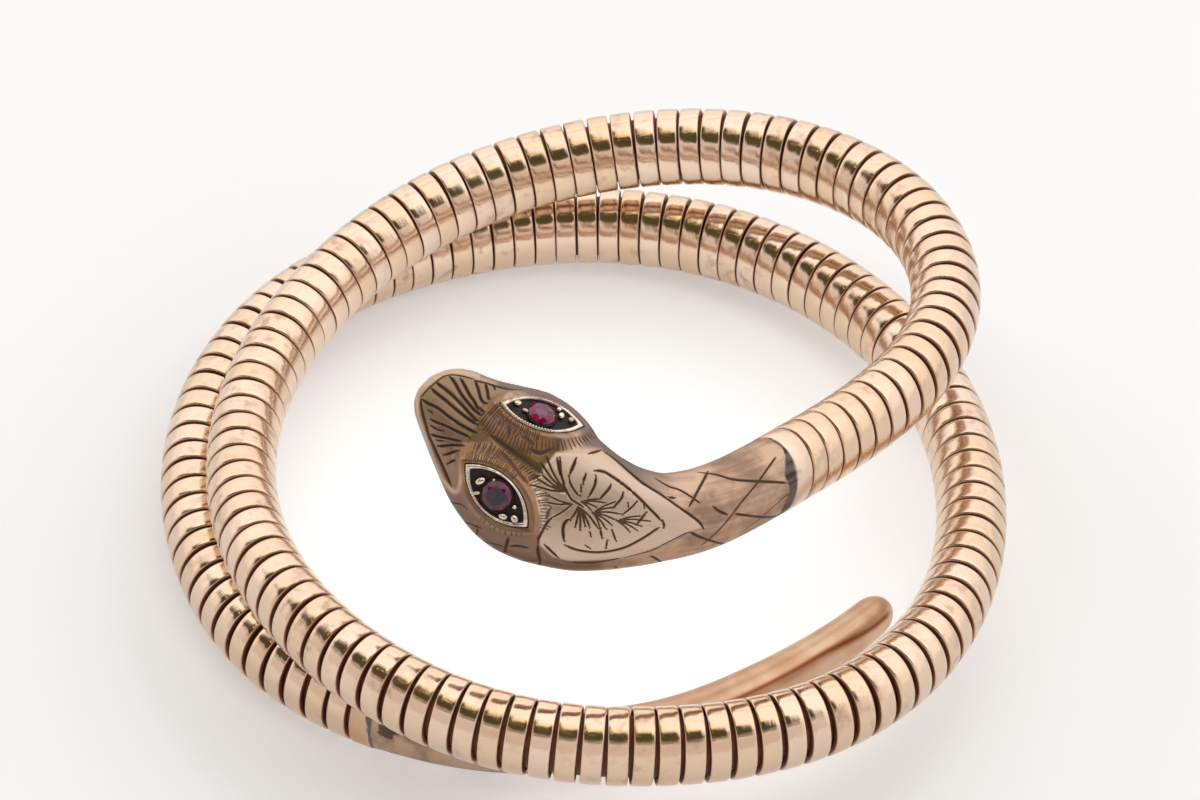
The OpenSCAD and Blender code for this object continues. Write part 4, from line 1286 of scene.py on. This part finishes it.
def makeTail(settings):
    rows, count = np.array(settings["rows"]), settings["around"]
    around = np.linspace(0, 2 * math.pi, count, endpoint=False)
    half, wide = ringSettings["halfThickness"], ringSettings["halfWidth"]
    stations = [(d, *socketSize()) for d in (collarSettings["socketDepth"], collarSettings["gap"])]
    stations += [(d, wide - shrink, half - shrink) for d, shrink in
                 settings["sleeveEdge"]]
    stations += [(d, float(softColumn(rows, d, 1)), float(softColumn(rows, d, 2)))
                 for d in np.arange(rows[0, 0], settings["tip"][0], settings["step"])]
    (low, high), (tipWide, tipThick) = settings["tip"], settings["tipSize"]
    for t in 1 - (1 - np.linspace(0, 1, settings["tipSteps"])) ** 2:
        shrink = math.sqrt(max(0.0, 1 - (t * 0.993) ** 2.3))
        stations.append((low + (high - low) * t, tipWide * shrink, tipThick * shrink))
    points = np.vstack([plainLoop(tailFrom + d, side, thick, around) for d, side, thick in stations])
    tail = meshObject("tailEnd", points, loftFaces(len(stations), count), materials["tail"])
    spread, turns = np.repeat([s[0] for s in stations], count), np.tile(around, len(stations))
    turned = wrapped(turns)
    joint, width = settings["solder"]
    mark(tail.data, "solder", np.exp(-((spread - joint - 0.05 * np.sin(turns * 3)) / width) ** 2))
    (place, side), (long, wide) = settings["soot"], settings["sootSize"]
    mark(tail.data, "soot", np.exp(-((spread - place) / long) ** 2 - ((turned - side) / wide) ** 2))
    mark(tail.data, "worn", (1 - smoothStep(spread, settings["sleeve"], settings["sleeve"] + 9)) * (spread > joint))
    # orange-brown line along the tail, above its outer side, wider towards the tip
    (start, end), (narrow, wider) = settings["brownLine"], settings["brownLineWidth"]
    off = (turned - start - (end - start) * smoothStep(spread, 42, 49)) * 2.2
    brownLine = np.exp(-(off / (narrow + wider * smoothStep(spread, 38, 46))) ** 2) * smoothStep(spread, 14, 34)
    mark(tail.data, "brownLine", brownLine * (1 - smoothStep(spread, high - 2.0, high - 0.8)))
    bodyMap(tail.data, spread, turns * 2.6)
    tail.data.set_sharp_from_angle(angle=math.radians(45))
    return tail


tail = makeTail(tailSettings)
print("tail made", len(tail.data.polygons))

# floor and light
lightSettings = {
    # the floor glows more within the coil than beyond it: a painted pool of light that lifts the shade under the
    # coil
    "floor": (0.86, 0.885, 0.915, 1), "floorSize": 1500.0, "floorGlow": (0.45, 0.12), "glowEdge": (0.028, 0.042),
    "sky": (1.5, 1.47, 1.45, 1), "low": (1.3, 1.25, 1.22, 1), "frontLow": (0.84, 0.76, 0.73, 1),
    "dark": (0.10, 0.082, 0.036, 1), "glow": (1.45, 1.25, 0.8, 1), "spark": (12.0, 10.0, 7.0, 1),
    "sparkScale": 6.0, "sparkSize": 0.2,
    # heights of the bands, as the sine of their elevation
    "darkBand": (0.49, 0.94), "glowBand": (0.93, 0.985), "sparkBand": (0.84, 0.94),
    # seam between the tent's panels, a great circle
    "brownLine": (0.42, 0.28, 0.18, 1), "seamNormal": (-0.26, 0.74, -0.62), "brownLineWidth": 0.008,
    "seamShade": (1.15, 1.02, 0.88, 1), "shadeWidth": 0.05,
    # ways that the light differs by: towards the viewer, low in front, behind
    "frontWay": (-0.45, -1.0, 0), "lowWay": (-0.2, -1.0, 0), "backWay": (0.2, 1.0, 0),
    "horizon": (0.35, 0.65),
}


def makeFloor(settings):
    size = settings["floorSize"]
    floor = meshObject("floor", [(x * size, y * size, -0.02) for x, y in ((-1, -1), (1, -1), (1, 1), (-1, 1))],
                       [(0, 1, 2, 3)])
    material, make, socket = newMaterial("paleTable", Roughness=0.9)
    socket["Base Color"].default_value = settings["floor"]
    socket["Emission Color"].default_value = settings["floor"]
    # painted light: the floor glows more strongly near the coil than further out
    away = make.vector("LENGTH", {0: make.place()}, "Value")
    make.put(socket["Emission Strength"], make.span(away, *settings["glowEdge"], *settings["floorGlow"]))
    floor.data.materials.append(material)


def makeWorld(settings):
    # pale tent: a dark band over the camera with warm light and small lamps, a seam between its panels behind
    world = bpy.data.worlds.new("studio")
    bpy.context.scene.world = world
    world.use_nodes = True
    world.node_tree.nodes.clear()
    make = NodeMaker(world.node_tree)
    way = make.add("ShaderNodeTexCoord").outputs["Generated"]
    z = make.add("ShaderNodeSeparateXYZ", {0: way}).outputs[2]

    def share(vector):
        return make.vector("DOT_PRODUCT", {0: way, 1: Vector(vector).normalized()}, "Value")

    def toward(name, low, high):
        return make.span(share(settings[name]), low, high)

    def between(band, soft):
        low, high = band
        return make.times(make.span(z, low - soft, low + soft), make.span(z, high + soft, high - soft))
    front = toward("frontWay", 0.0, 0.2)
    low = make.mix(toward("lowWay", -0.1, 0.5), settings["low"], settings["frontLow"])
    shade = make.mix(make.span(z, *settings["horizon"]), low, settings["sky"])
    off, behind = make.math("ABSOLUTE", share(settings["seamNormal"])), toward("backWay", 0.0, 0.3)
    near = make.times(make.span(off, settings["shadeWidth"], 0.0), behind)
    shade = make.mix(make.times(near, 0.8), shade, settings["seamShade"])
    line = make.span(off, settings["brownLineWidth"] * 1.5, settings["brownLineWidth"] * 0.5)
    shade = make.mix(make.times(line, behind), shade, settings["brownLine"])
    shade = make.mix(make.times(front, between(settings["darkBand"], 0.02)), shade, settings["dark"])
    shade = make.mix(make.times(front, between(settings["glowBand"], 0.012)), shade, settings["glow"])
    cells = make.add("ShaderNodeTexVoronoi", {"Vector": way, "Scale": settings["sparkScale"]}).outputs["Distance"]
    sparks = make.times(make.span(cells, settings["sparkSize"], settings["sparkSize"] * 0.7),
                        make.times(front, between(settings["sparkBand"], 0.01)))
    shade = make.mix(sparks, shade, settings["spark"])
    background = make.add("ShaderNodeBackground", {"Color": shade})
    make.put(make.add("ShaderNodeOutputWorld").inputs[0], background.outputs[0])


makeFloor(lightSettings)
makeWorld(lightSettings)
bpy.context.scene.view_settings.view_transform = "Standard"
print("floor and light made")

# every piece joins the frame
for piece, node, slot in (
    (upperRings, "upper_rings", "ring_gold"), (lowerRings, "lower_rings", "ring_gold"),
    (core, "core_tube", "core_metal"), (head, "head", "head_gold"),
    (settingLeft, "eye_setting_left", "setting_silver"), (settingRight, "eye_setting_right", "setting_silver"),
    (rubyLeft, "ruby_left", "ruby_stone"), (rubyRight, "ruby_right", "ruby_stone"), (tail, "tail", "tail_gold"),
):
    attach(piece, "root")
    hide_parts(node)
